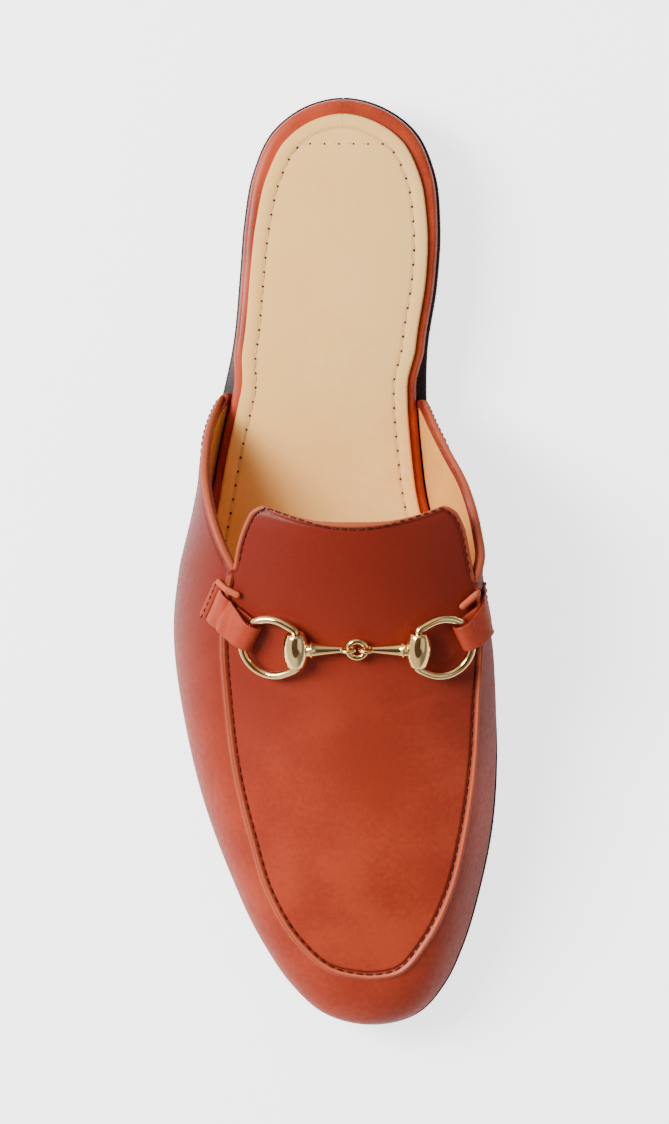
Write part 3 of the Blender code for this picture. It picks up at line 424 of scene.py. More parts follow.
def new_group(name, inputs, outputs):
    """An empty shader group with its named sockets. Each input is (name, kind, default)."""
    group = bpy.data.node_groups.new(name, "ShaderNodeTree")
    for label, kind, default in inputs:
        socket = group.interface.new_socket(label, in_out="INPUT", socket_type=kind)
        if default is not None:
            socket.default_value = default
    for label, kind in outputs:
        group.interface.new_socket(label, in_out="OUTPUT", socket_type=kind)
    return group, group.nodes.new("NodeGroupInput"), group.nodes.new("NodeGroupOutput")


def noise(tree, vector, scale, detail=3.0, roughness=0.55):
    """A noise texture whose scale is a number or another node's output."""
    node = add_node(tree, "ShaderNodeTexNoise")
    node.inputs["Detail"].default_value = detail
    node.inputs["Roughness"].default_value = roughness
    tree.links.new(vector, node.inputs["Vector"])
    feed(tree, node.inputs["Scale"], scale)
    return node.outputs["Fac"]


def math_node(tree, operation, *values):
    node = add_node(tree, "ShaderNodeMath", operation=operation)
    for socket, value in zip(node.inputs, values):
        feed(tree, socket, value)
    return node.outputs["Value"]


def remap(tree, value, low, high, to_low=0.0, to_high=1.0):
    node = add_node(tree, "ShaderNodeMapRange", interpolation_type="SMOOTHSTEP")
    tree.links.new(value, node.inputs["Value"])
    numbers = {"From Min": low, "From Max": high, "To Min": to_low, "To Max": to_high}
    for label, number in numbers.items():
        node.inputs[label].default_value = number
    return node.outputs["Result"]


def mix_colour(tree, factor, first, second):
    node = add_node(tree, "ShaderNodeMix", data_type="RGBA")
    sockets = [s for s in node.inputs if s.enabled]
    for socket, value in zip(sockets, (factor, first, second)):
        feed(tree, socket, value)
    return [s for s in node.outputs if s.enabled][0]


def srgb(red, green, blue):
    """A colour in the screen's values, 0 to 255, turned into the linear values that shaders use."""
    shares = [value / 255 for value in (red, green, blue)]
    return tuple(c / 12.92 if c <= 0.04045 else ((c + 0.055) / 1.055) ** 2.4 for c in shares)


# %% Leather grain and colour drift
PORE_SOFTNESS = 0.6
WRINKLE_SCALE = 0.16
PORE_SHARE, FINE_SHARE, WRINKLE_SHARE = 0.5, 0.35, 0.5
MOTTLE_SCALE = 22.0
SLOW_SHARE, MOTTLE_SHARE = 0.75, 0.25
DRIFT_BAND = (0.38, 0.62)


def build_grain_group():
    """Leather's pores and fine wrinkles as a height from 0 to 1, for a Bump node."""
    inputs = [("Vector", "NodeSocketVector", None), ("Pores", "NodeSocketFloat", 1800.0)]
    group, source, result = new_group("leather_grain", inputs, [("Height", "NodeSocketFloat")])
    vector, scale = source.outputs["Vector"], source.outputs["Pores"]
    cells = add_node(group, "ShaderNodeTexVoronoi", feature="SMOOTH_F1")
    cells.inputs["Smoothness"].default_value = PORE_SOFTNESS
    group.links.new(vector, cells.inputs["Vector"])
    group.links.new(scale, cells.inputs["Scale"])
    fine = noise(group, vector, scale, 2.0)
    wrinkles = noise(group, vector, math_node(group, "MULTIPLY", scale, WRINKLE_SCALE), 4.0, 0.6)
    total = math_node(group, "MULTIPLY", fine, FINE_SHARE)
    total = math_node(group, "MULTIPLY_ADD", cells.outputs["Distance"], PORE_SHARE, total)
    total = math_node(group, "ADD", total, math_node(group, "MULTIPLY", wrinkles, WRINKLE_SHARE))
    group.links.new(total, result.inputs["Height"])
    return group


def build_drift_group():
    """A slow drift between two dye colours, with a finer mottle inside it."""
    inputs = [
        ("Vector", "NodeSocketVector", None),
        ("Light", "NodeSocketColor", (1, 1, 1, 1)),
        ("Deep", "NodeSocketColor", (0, 0, 0, 1)),
        ("Clouds", "NodeSocketFloat", 30.0),
    ]
    outputs = [("Color", "NodeSocketColor"), ("Mottle", "NodeSocketFloat")]
    group, source, result = new_group("dye_drift", inputs, outputs)
    vector, clouds = source.outputs["Vector"], source.outputs["Clouds"]
    slow = noise(group, vector, clouds, 2.0)
    fine = noise(group, vector, math_node(group, "MULTIPLY", clouds, MOTTLE_SCALE), 4.0)
    slow_part = math_node(group, "MULTIPLY", slow, SLOW_SHARE)
    fine_part = math_node(group, "MULTIPLY", fine, MOTTLE_SHARE)
    factor = remap(group, math_node(group, "ADD", slow_part, fine_part), *DRIFT_BAND)
    colour = mix_colour(group, factor, source.outputs["Light"], source.outputs["Deep"])
    group.links.new(colour, result.inputs["Color"])
    group.links.new(fine, result.inputs["Mottle"])
    return group


grain_group = build_grain_group()
drift_group = build_drift_group()


# %% [markdown]
# ## Leathers
#
# The upper is a smooth full-grain calf, dyed cognac and polished. Its raised seam ridge gets a painted
# highlight, its bound edges are rubbed paler, and its stitched channels and dips get painted shade. The
# mesh itself says where those places are: each vertex carries a number for how much paler and how much
# darker it is, so the colour follows the seam and never slides off it.


# %% Leather material
def place_group(tree, group, **values):
    node = add_node(tree, "ShaderNodeGroup", node_tree=group)
    for label, value in values.items():
        feed(tree, node.inputs[label], value)
    return node


def start_material(name):
    material = bpy.data.materials.new(name)
    material.use_nodes = True
    tree = material.node_tree
    coordinates = add_node(tree, "ShaderNodeTexCoord")
    return material, tree, tree.nodes["Principled BSDF"], coordinates.outputs["Object"]


def add_bump(tree, shader, height, strength, distance):
    bump = add_node(tree, "ShaderNodeBump")
    bump.inputs["Strength"].default_value = strength
    bump.inputs["Distance"].default_value = distance
    tree.links.new(height, bump.inputs["Height"])
    tree.links.new(bump.outputs["Normal"], shader.inputs["Normal"])


MOTTLE_BAND = (0.3, 0.7)
GLOSS_SPREAD = (-0.05, 0.07)
SPECULAR = 0.14
COAT_ROUGHNESS = 0.28
GRAIN_STRENGTH = 0.5


def make_leather(name, light, deep, gloss, coat=0.0, relief=0.00006, clouds=30.0, marks=None, fade=None):
    """A dyed leather, whose gloss is its middle roughness.

    marks gives the colours of paler and darker places, which the mesh names: rubbed wear, painted
    highlights and painted shade. fade gives a colour, and the two values of Y between which it comes in."""
    material, tree, shader, place = start_material(name)
    drift = place_group(tree, drift_group, Vector=place, Light=light, Deep=deep, Clouds=clouds)
    colour = drift.outputs["Color"]
    if fade:
        shade, start, end = fade
        split = add_node(tree, "ShaderNodeSeparateXYZ")
        tree.links.new(place, split.inputs["Vector"])
        colour = mix_colour(tree, remap(tree, split.outputs["Y"], start, end), colour, shade)
    if marks:
        for label, tone in marks.items():
            mark = add_node(tree, "ShaderNodeAttribute", attribute_name=label)
            colour = mix_colour(tree, mark.outputs["Fac"], colour, tone)
    tree.links.new(colour, shader.inputs["Base Color"])
    smoothest, roughest = gloss + GLOSS_SPREAD[0], gloss + GLOSS_SPREAD[1]
    rough = remap(tree, drift.outputs["Mottle"], *MOTTLE_BAND, smoothest, roughest)
    tree.links.new(rough, shader.inputs["Roughness"])
    shader.inputs["Coat Weight"].default_value = coat
    shader.inputs["Specular IOR Level"].default_value = SPECULAR
    shader.inputs["Coat Roughness"].default_value = COAT_ROUGHNESS
    grain = place_group(tree, grain_group, Vector=place)
    add_bump(tree, shader, grain.outputs["Height"], GRAIN_STRENGTH, relief)
    return material


COGNAC = srgb(168, 62, 38)
COGNAC_DEEP = srgb(146, 49, 30)
COGNAC_RED = srgb(116, 34, 22)
# Paler tone for the rubbed bound edges and for the painted highlight along the seam ridge and its crest
RUB_AND_HIGHLIGHT = srgb(212, 110, 72)
# Darker tone for painted shade in the upper's stitch channel and stitched dip, for the dye of the strap's
# cut edges, and for the keeper, which is made darker all over
SHADE_AND_DYE_TONE = srgb(70, 17, 9)
UPPER_MARKS = {"wear_and_highlight": RUB_AND_HIGHLIGHT, "dark": SHADE_AND_DYE_TONE}
# The upper's tone turns redder from the first value of Y to the second, towards the tongue
RED_START, RED_END = 0.075, -0.005

upper_leather = make_leather(
    "upper_leather",
    COGNAC,
    COGNAC_DEEP,
    gloss=0.40,
    coat=0.04,
    relief=0.00014,
    marks=UPPER_MARKS,
    fade=(COGNAC_RED, RED_START, RED_END),
)
strap_leather = make_leather(
    "strap_leather", COGNAC, COGNAC_DEEP, gloss=0.40, coat=0.04, marks=UPPER_MARKS
)
rand_leather = make_leather(
    "rand_leather", srgb(178, 66, 34), srgb(146, 46, 22), gloss=0.34, coat=0.25, clouds=60.0
)
lining_leather = make_leather(
    "lining_leather", srgb(236, 172, 92), srgb(218, 150, 72), gloss=0.6, relief=0.00004
)
sock_leather = make_leather(
    "sock_leather",
    srgb(255, 206, 126),
    srgb(250, 194, 112),
    gloss=0.52,
    relief=0.00003,
    clouds=18.0,
    # Darker tone for the painted shade in the sock's stitched channel
    marks={"dark": srgb(196, 148, 96)},
)
edge_leather = make_leather(
    "edge_leather", srgb(50, 30, 24), srgb(28, 16, 13), gloss=0.36, coat=0.2, clouds=120.0, relief=0.00008
)
heel_rubber = make_leather(
    "heel_rubber", srgb(40, 34, 31), srgb(26, 22, 20), gloss=0.66, clouds=90.0, relief=0.0001
)
# Thread and needle holes are so small that their tone changes from one stitch to the next
THREAD_CLOUDS = 400.0
thread_brown = make_leather(
    "thread_brown", srgb(92, 30, 17), srgb(70, 20, 12), gloss=0.6, clouds=THREAD_CLOUDS
)
thread_pale = make_leather(
    "thread_pale", srgb(226, 186, 132), srgb(204, 160, 108), gloss=0.7, clouds=THREAD_CLOUDS
)
needle_shadow = make_leather(
    "needle_shadow", srgb(88, 56, 32), srgb(60, 34, 18), gloss=0.8, clouds=THREAD_CLOUDS
)
print("leathers:", [m.name for m in bpy.data.materials])

# %% [markdown]
# ## Polished brass
#
# The bit is cast brass under a pale gold plate, polished to a mirror. A mirror is drawn by what it
# reflects, so the material is simple: a metal with a low roughness that a faint noise breaks up, as
# handling does.


# %% Gold material
GOLD, GOLD_DEEP = srgb(252, 216, 150), srgb(238, 190, 118)
GOLD_CLOUDS = 90.0
GOLD_ROUGHNESS = (0.07, 0.15)


def make_gold():
    material, tree, shader, place = start_material("bit_gold")
    drift = place_group(
        tree, drift_group, Vector=place, Light=GOLD, Deep=GOLD_DEEP, Clouds=GOLD_CLOUDS
    )
    tree.links.new(drift.outputs["Color"], shader.inputs["Base Color"])
    shader.inputs["Metallic"].default_value = 1.0
    rough = remap(tree, drift.outputs["Mottle"], *MOTTLE_BAND, *GOLD_ROUGHNESS)
    tree.links.new(rough, shader.inputs["Roughness"])
    return material


bit_gold = make_gold()


# %% [markdown]
# ## The sole
#
# The outsole is a flat slab cut to the outline, bent over the heel, through the arch and up at the toe.
# It is lofted from cross sections: each station along the shoe has one ring of points, and each ring
# follows the same edge profile. The edge is trimmed, dyed dark and burnished, with one fine line
# pressed into it.


# %% Slab maker
def slab(name, stations, levels):
    """A slab along the outline. A level is a function of y for its inset and one for its height."""
    lateral = outline.share_at(stations, "lateral")
    medial = outline.share_at(stations, "medial")
    sides = []
    for shares in (lateral, medial):
        columns = []
        for inset, height in levels:
            plan = outline.at(shares, inset(stations))
            columns.append(np.column_stack([plan, height(plan[:, 1])]))
        sides.append(columns)
    left, right = sides
    return loft(name, np.stack(left + right[::-1], axis=1).tolist())


def constant(value):
    return lambda y: np.full_like(np.asarray(y, float), value)


def above(height, amount):
    return lambda y: height(y) + amount


def full_stations(count):
    """Stations from heel back to toe tip, closer together at both round ends."""
    return LENGTH * (1 - np.cos(np.linspace(0.0, math.pi, count))) / 2


def heel_stations(count):
    return HEEL_LENGTH * (1 - np.cos(np.linspace(0.0, math.pi / 2, count)))


def edge_levels(base, thickness, profile):
    """Levels for an edge profile: rows of (inset in metres, height as a share of the thickness)."""
    return [(constant(inset), above(base, share * thickness)) for inset, share in profile]


# %% Outsole
# Columns: inset (metres), height (share of the thickness)
SOLE_PROFILE = [
    (0.0008, 0.0),
    (0.0003, 0.04),
    (0.0001, 0.12),
    (0.0, 0.24),
    (0.0, 0.58),
    (0.00028, 0.62),
    (0.00028, 0.66),
    (0.0, 0.70),
    (0.0, 0.86),
    (0.0002, 0.95),
    (0.0006, 1.0),
]
SOLE_STATIONS = 140
sole_levels = edge_levels(tread_height, SOLE_THICKNESS, SOLE_PROFILE)
sole = slab("sole_leather_outsole", full_stations(SOLE_STATIONS), sole_levels)
sole.data.materials.append(edge_leather)
finish_piece(sole, "sole_leather", "outsole")

# %% [markdown]
# ## The heel
#
# The heel is a low stack of leather lifts with a rubber top piece that takes the wear. The lifts are
# thin sheets glued and sanded flush, so they are told apart only by fine lines: the profile dips a
# little between them.

# %% Heel stack and top piece
LIFT_COUNT = 3
LIFT_GROOVE = 0.00022
HEEL_STATIONS = 60
# Columns: inset beyond the heel's side, height, both in metres
TOP_PIECE_PROFILE = [(0.0009, 0.0), (0.0003, 0.0003), (0.0, 0.0009), (0.0, 0.0047), (0.0003, 0.0050)]


def heel_inset(height):
    return SOLE_MARGIN + HEEL_TAPER * (1 - height / HEEL_HEIGHT)


stack_low, stack_high = TOP_LIFT_THICKNESS + GAP, HEEL_HEIGHT - GAP
stack_profile = []
for lift in range(LIFT_COUNT):
    base = stack_low + (stack_high - stack_low) * lift / LIFT_COUNT
    top = stack_low + (stack_high - stack_low) * (lift + 1) / LIFT_COUNT
    stack_profile += [(heel_inset(base) + LIFT_GROOVE, base), (heel_inset(base), base + LIFT_GROOVE)]
    stack_profile += [(heel_inset(top), top - LIFT_GROOVE), (heel_inset(top) + LIFT_GROOVE, top)]
stack_levels = [(constant(i), constant(h)) for i, h in stack_profile]
stack = slab("heel_lifts", heel_stations(HEEL_STATIONS), stack_levels)
stack.data.materials.append(edge_leather)
finish_piece(stack, "sole_leather", "heel_stack")

top_levels = [(constant(heel_inset(h) + i), constant(h)) for i, h in TOP_PIECE_PROFILE]
top_piece = slab("heel_top_piece", heel_stations(HEEL_STATIONS), top_levels)
top_piece.data.materials.append(heel_rubber)
finish_piece(top_piece, "heel_rubber", "heel_top_lift")


# %% [markdown]
# ## Rand and sock
#
# A mule has no counter, so the edge of the wrapped board shows all round the heel as a soft roll of the
# upper's leather. On top lies the tan sock, glued down and stitched round about four millimetres inside
# its edge. Both follow the sole's outline at their own insets.


# %% Board and sock
def board_inset(y):
    share = np.asarray(y) / LENGTH
    step = smooth_step((share - BOARD_STEP[0]) / (BOARD_STEP[1] - BOARD_STEP[0]))
    toe = smooth_step((share - BOARD_EASE[0]) / (BOARD_EASE[1] - BOARD_EASE[0]))
    inside = SOLE_MARGIN + WALL + BOARD_FIT + BOARD_TOE_EASE * toe
    return BOARD_MARGIN + (inside - BOARD_MARGIN) * step


def sock_inset(y):
    back = 1 - smooth_step(np.asarray(y) / (SOCK_BACK_END * LENGTH))
    return board_inset(y) + SOCK_MARGIN_SIDE + (SOCK_MARGIN_BACK - SOCK_MARGIN_SIDE) * back


# The roll of the board's edge is part of an oval. ROLL_START, in half turns, and ROLL_LOWEST, an angle,
# say where it begins. The others are shares of the board's thickness: the oval's half depth, its middle,
# its half height, and the inset of the flat top.
ROLL_POINTS = 12
ROLL_START = 0.45
ROLL_LOWEST = -1.4
ROLL_DEPTH = 0.30
ROLL_MIDDLE = 0.48
ROLL_HEIGHT = 0.52
ROLL_FLAT = 0.62
BOARD_STATIONS = 160

board_base = above(seat_height, GAP)
board_levels = []
for step in range(ROLL_POINTS + 1):
    angle = min(math.pi * (step / ROLL_POINTS - ROLL_START), math.pi / 2)
    depth = ROLL_DEPTH * (1 - math.cos(max(angle, ROLL_LOWEST))) * BOARD_THICKNESS
    rise = (ROLL_MIDDLE + ROLL_HEIGHT * math.sin(angle)) * BOARD_THICKNESS
    if step == ROLL_POINTS:
        depth, rise = ROLL_FLAT * BOARD_THICKNESS, BOARD_THICKNESS
    board_levels.append((lambda y, d=depth: board_inset(y) + d, above(board_base, max(rise, 0.0))))
rand = slab("rand_roll", full_stations(BOARD_STATIONS), board_levels)
rand.data.materials.append(rand_leather)
finish_piece(rand, "rand_leather", "insole_board")

sock_base = above(board_base, BOARD_THICKNESS + GAP)
# Columns: inset (metres), height (share of the thickness)
SOCK_PROFILE = [(0.00015, 0.0), (0.0, 0.25), (0.0, 0.62), (0.0002, 0.88), (0.0006, 1.0)]
# Columns: way across the stitched channel (metres), depth (share of SOCK_DIP)
CHANNEL_PROFILE = [(-0.0009, 0.0), (-0.0004, 0.5), (0.0, 1.0), (0.0004, 0.5), (0.0009, 0.0)]
SOCK_CHANNEL = 0.0038
SOCK_DIP = 0.00022
SOCK_CHANNEL_SHADE = 0.5
sock_rows = [(inset, share * SOCK_THICKNESS) for inset, share in SOCK_PROFILE]
sock_rows += [(SOCK_CHANNEL + way, SOCK_THICKNESS - SOCK_DIP * dip) for way, dip in CHANNEL_PROFILE]
sock_levels = [(lambda y, d=inset: sock_inset(y) + d, above(sock_base, h)) for inset, h in sock_rows]
sock = slab("sock_tan", full_stations(BOARD_STATIONS), sock_levels)
sock_points = np.array([v.co for v in sock.data.vertices])
# The sock's channel is darkened by its depth: painted shade
sock_drop = sock_base(sock_points[:, 1]) + SOCK_THICKNESS - sock_points[:, 2]
point_values(sock, "dark", np.clip(sock_drop / SOCK_DIP, 0, 1) * SOCK_CHANNEL_SHADE)
sock.data.materials.append(sock_leather)
finish_piece(sock, "sock_leather", "sock_liner")

# %% [markdown]
# ## The upper's form
#
# The upper is drawn as ribs, as a last maker would cut templates: each rib stands on the sole's edge
# and climbs to the apron seam or to the free topline. Across the apron and tongue run crowned strips.
# The tables repeat the drawing of the solid, and the ribs and strips are only more numerous and closer
# together near each edge, where the seam, the binding and the rolled edge need them.

# %% Tables of the upper
# Ribs from the toe to the rear end of the quarter. Columns: foot of the rib along the sole (share of
# LENGTH); top of the rib: x (share of BALL_WIDTH), y (share of LENGTH), rise above the sole (share of
# INSTEP_RISE); lean above the foot and lean under the top (shares of BALL_WIDTH)
TOE_RIB = (1.000, -0.078, 0.942, 0.308, 0.017, 0.100)
SEAM_RIBS = {
    "lateral": [
        TOE_RIB,
        (0.971, 0.039, 0.933, 0.323, 0.024, 0.089),
        (0.930, 0.128, 0.906, 0.364, 0.039, 0.078),
        (0.868, 0.217, 0.855, 0.423, 0.050, 0.078),
        (0.798, 0.269, 0.795, 0.490, 0.050, 0.100),
        (0.721, 0.317, 0.721, 0.558, 0.050, 0.122),
        (0.643, 0.342, 0.641, 0.633, 0.050, 0.144),
        (0.581, 0.348, 0.581, 0.743, 0.056, 0.156),
        (0.508, 0.318, 0.504, 0.843, 0.067, 0.156),
    ],
    "medial": [
        TOE_RIB,
        (0.971, -0.172, 0.936, 0.321, 0.009, 0.089),
        (0.930, -0.251, 0.905, 0.365, 0.007, 0.072),
        (0.868, -0.322, 0.855, 0.423, 0.006, 0.061),
        (0.798, -0.366, 0.795, 0.490, 0.006, 0.061),
        (0.721, -0.398, 0.721, 0.558, 0.009, 0.061),
        (0.643, -0.412, 0.641, 0.625, 0.024, 0.061),
        (0.581, -0.421, 0.589, 0.695, 0.044, 0.056),
        (0.519, -0.411, 0.517, 0.782, 0.050, 0.056),
    ],
}
TOPLINE_RIBS = {
    "lateral": [
        (0.508, 0.318, 0.504, 0.843, 0.067, 0.156),
        (0.481, 0.349, 0.483, 0.820, 0.056, 0.111),
        (0.450, 0.382, 0.453, 0.766, 0.039, 0.067),
        (0.411, 0.409, 0.413, 0.654, 0.028, 0.028),
        (0.374, 0.411, 0.375, 0.478, 0.033, 0.017),
        (0.343, 0.400, 0.347, 0.280, 0.022, 0.009),
        (0.318, 0.373, 0.320, 0.052, 0.007, 0.003),
    ],
    "medial": [
        (0.519, -0.411, 0.517, 0.782, 0.050, 0.056),
        (0.496, -0.429, 0.500, 0.785, 0.050, 0.033),
        (0.465, -0.421, 0.465, 0.759, 0.044, 0.017),
        (0.422, -0.389, 0.424, 0.682, 0.039, 0.011),
        (0.380, -0.324, 0.380, 0.499, 0.028, 0.009),
        (0.349, -0.280, 0.349, 0.273, 0.017, 0.006),
        (0.326, -0.254, 0.326, 0.065, 0.006, 0.002),
    ],
}
# Highest line of the apron and tongue. Columns: y (share of LENGTH), rise above the sole (share of
# INSTEP_RISE)
CREST = [
    (0.942, 0.308),
    (0.903, 0.391),
    (0.826, 0.520),
    (0.729, 0.645),
    (0.651, 0.755),
    (0.589, 0.854),
    (0.516, 0.955),
    (0.461, 1.000),
    (0.430, 1.014),
]
# Side edges of the tongue from the notch up. Columns: x (share of BALL_WIDTH), y (share of LENGTH),
# rise (share of INSTEP_RISE)
TONGUE = {
    "lateral": [
        (0.318, 0.504, 0.843),
        (0.307, 0.484, 0.863),
        (0.284, 0.461, 0.889),
        (0.251, 0.440, 0.907),
    ],
    "medial": [
        (-0.411, 0.517, 0.782),
        (-0.398, 0.492, 0.815),
        (-0.380, 0.463, 0.845),
        (-0.347, 0.440, 0.871),
    ],
}
TONGUE_CORNER = 0.0032
TONGUE_HOLLOW = 0.0052
WALL_FOOT_RISE = 0.0015
RIB_UPRIGHT = 0.3
RIB_LOW_HANDLE = 0.38
RIB_HIGH_HANDLE = 0.17

# Distances from an edge at which points lie closer together, in metres. They are squeezed on a line
# that is shorter than NEAR_EDGE_ROOM times the last of them.
NEAR_EDGE = np.array([0, 0.12, 0.3, 0.55, 0.85, 1.2, 1.55, 1.9, 2.3, 2.7, 3.1, 3.7, 4.5]) * 0.001
NEAR_EDGE_ROOM = 1.6
RIB_SAMPLES = 81
TONGUE_STRIPS = 40
PINCHED = 1e-5
SEAM_RIB_COUNT = 170
TOPLINE_RIB_COUNT = 84
WALL_POINTS = 40
APRON_POINTS = 64


# %% Ribs and strips
def lift_point(x_share, y_share, rise):
    y = y_share * LENGTH
    return (x_share * BALL_WIDTH, y, float(seat_height(y)) + rise * INSTEP_RISE)


def edge_spaced(total, count):
    """Distances from one edge over a length, close together near that edge."""
    fine = NEAR_EDGE * min(1.0, total / (NEAR_EDGE_ROOM * NEAR_EDGE[-1]))
    rest = np.linspace(fine[-1], total, count - len(fine) + 1)[1:]
    return np.concatenate([fine, rest])


def make_rib(share, top, foot_lean, top_lean):
    """Points of one rib from its top down to the sole."""
    foot_plan = outline.at(share % 1.0, SOLE_MARGIN)
    deep_plan = outline.at(share % 1.0, SOLE_MARGIN + WALL)
    outward = foot_plan - deep_plan
    outward = np.array([*(outward / np.linalg.norm(outward)), 0.0])
    floor = max(float(seat_height(foot_plan[1])), float(seat_height(deep_plan[1]))) + GAP
    foot = np.array([*foot_plan, floor])
    rise = top[2] - floor
    up = np.array([0.0, 0.0, 1.0])
    first = foot + up * min(WALL_FOOT_RISE, RIB_UPRIGHT * rise)
    low = first + outward * (foot_lean * BALL_WIDTH) + up * RIB_LOW_HANDLE * rise
    high = top + outward * (top_lean * BALL_WIDTH) - up * RIB_HIGH_HANDLE * rise
    t = np.linspace(1.0, 0.0, RIB_SAMPLES)[:, None]
    curve = first * (1 - t) ** 3 + 3 * low * t * (1 - t) ** 2 + 3 * high * t**2 * (1 - t) + top * t**3
    curve = np.vstack([curve, foot])
    arc = arc_lengths(curve)
    wanted = edge_spaced(arc[-1], WALL_POINTS)
    return np.stack([np.interp(wanted, arc, curve[:, i]) for i in range(3)], axis=1)


def wall_ribs(side):
    """Ribs of one side: those under the seam, then those under the topline, with the notch's rib once."""
    ribs = []
    for rows, count in ((SEAM_RIBS[side], SEAM_RIB_COUNT), (TOPLINE_RIBS[side], TOPLINE_RIB_COUNT)):
        tops = np.array([lift_point(*row[1:4]) for row in rows])
        knots = arc_lengths(tops)
        knots /= knots[-1]
        shares = [float(outline.share_at(row[0] * LENGTH, side)) for row in rows]
        if rows[0][0] >= 1.0:
            shares[0] = outline.shares[outline.toe] + (0.0 if side == "lateral" else 1.0)
        places = np.linspace(0.0, 1.0, count + 1)
        top_points = smooth_curve(tops)(places)
        feet = smooth_values(knots, shares)(places)
        foot_leans = smooth_values(knots, [row[4] for row in rows])(places)
        top_leans = smooth_values(knots, [row[5] for row in rows])(places)
        for i in range(1 if ribs else 0, count + 1):
            ribs.append(make_rib(feet[i], top_points[i], foot_leans[i], top_leans[i]))
    return np.array(ribs)


crest_rows = sorted(CREST)
crest_curve = smooth_values([row[0] for row in crest_rows], [row[1] for row in crest_rows])


def crest_height(y):
    share = np.clip(y / LENGTH, crest_rows[0][0], crest_rows[-1][0])
    return float(seat_height(y)) + float(crest_curve(np.array([share]))[0]) * INSTEP_RISE


def cross_strip(lateral, medial, hollow=0.0):
    """Points across the apron from one seam to the other, crowned up to the crest line."""
    width = np.linalg.norm(lateral - medial)
    count = APRON_POINTS // 2 + 1
    if width < PINCHED:
        half = edge_spaced(0.5, count)
        crown = 0.0
    else:
        half = edge_spaced(width / 2, count) / width
        crown = crest_height((lateral[1] + medial[1]) / 2 + hollow) - (lateral[2] + medial[2]) / 2
    shares = np.concatenate([half, 1 - half[-2::-1]])
    arch = 4 * shares * (1 - shares)
    points = lateral + (medial - lateral) * shares[:, None]
    points[:, 1] += hollow * arch
    points[:, 2] += crown * arch
    return points


def tongue_strips():
    """Strips of the tongue from just past the notches to its hollowed top edge with rounded corners."""
    curves = {side: smooth_curve([lift_point(*row) for row in rows]) for side, rows in TONGUE.items()}
    length = np.linalg.norm(curves["lateral"](1.0)[0] - curves["lateral"](0.0)[0])
    places = 1 - edge_spaced(length, TONGUE_STRIPS)[::-1] / length
    strips = []
    for place in places[1:]:
        left, right = curves["lateral"](place)[0], curves["medial"](place)[0]
        past = max(0.0, place - (1 - TONGUE_CORNER / length)) / (TONGUE_CORNER / length)
        pull = TONGUE_CORNER * (1 - math.sqrt(max(0.0, 1 - past * past)))
        along_x = (left - right) / np.linalg.norm(left - right)
        strips.append(cross_strip(left - along_x * pull, right + along_x * pull, TONGUE_HOLLOW * place))
    return strips


lateral_rows = wall_ribs("lateral")
medial_rows = wall_ribs("medial")
apron_rows = [cross_strip(lateral_rows[i][0], medial_rows[i][0]) for i in range(SEAM_RIB_COUNT + 1)]
apron_rows = np.array(apron_rows + tongue_strips())
print("upper grids:", lateral_rows.shape, medial_rows.shape, apron_rows.shape)

# %% [markdown]
# ## Seam, binding and rolled edges
#
# A hand-sewn apron stands up in a ridge on the wall's side, and the stitches lie in a channel on the
# apron's side. The topline is bound with a folded strip, and the tongue's edge is turned under. All
# three are heights over the one form, worked out from two distances: how far a point is from the apron
# seam, and how far from the nearest free edge. Outside and inside are the same form offset both ways,
# and the two meet in a round edge where the distance is zero.

# %% Height profiles
RIDGE_RISE = 0.00085
RIDGE_PLACE = -0.00060
RIDGE_WIDTH = 0.00062
CREST_PLACE = -0.00012
CREST_WIDTH = 0.00020
CHANNEL_PLACE = 0.00080
CHANNEL_WIDTH = 0.00036
CHANNEL_DEPTH = 0.00040
BINDING_WIDTH = 0.0022
BINDING_RISE = 0.00045
TURNED_WIDTH = 0.0013
TURNED_SHARE = 0.35
BAND_EDGE, BAND_SLOPE = 0.0004, 0.0008
STITCH_INSET = 0.0004
STITCH_DIP = 0.00022
STITCH_DIP_WIDTH = 0.00035
TONGUE_DIP_SHARE = 0.8
ROUND_REACH = 0.0009
# The ridge and the channel start this far from the notch, and are whole after the second distance
NOTCH_START, NOTCH_BLEND = 0.0012, 0.004
# Strength of the painted highlight on the ridge and its crest, how rubbed the bound edges are, and
# strength of the painted shade in the channel and the stitched dip
RIDGE_HIGHLIGHT, CREST_HIGHLIGHT, EDGE_WORN = 0.25, 0.9, 0.45
EDGE_WORN_START, EDGE_WORN_SLOPE = 0.0006, 0.001
CHANNEL_SHADE, CHANNEL_SHADE_SHARE = 0.75, 0.9
DIP_SHADE, DIP_SHADE_WIDTH = 0.5, 0.0003

# Soft troughs of the vamp, where the foot bends. Columns: x and y of both ends, half width and depth,
# all in mm
CREASES = [
    (-31, 163, -8, 168, 1.5, 0.10),
    (-33, 170, -14, 174, 1.3, 0.09),
    (-30, 178, -17, 181, 1.4, 0.08),
    (4, 176, 24, 168, 1.6, 0.07),
    (-32, 156, -20, 158, 1.2, 0.07),
    (-28, 187, -18, 190, 1.5, 0.06),
    (33, 150, 41, 158, 1.6, 0.10),
    (35, 162, 41, 170, 1.6, 0.08),
    (-41, 158, -38, 168, 1.4, 0.08),
]
MM = 0.001
CREASE_STRENGTH = 1.8
CREASE_BOW = 0.0012
CREASE_ENDS = (0.03, 0.97)
CREASE_FADE = 0.7


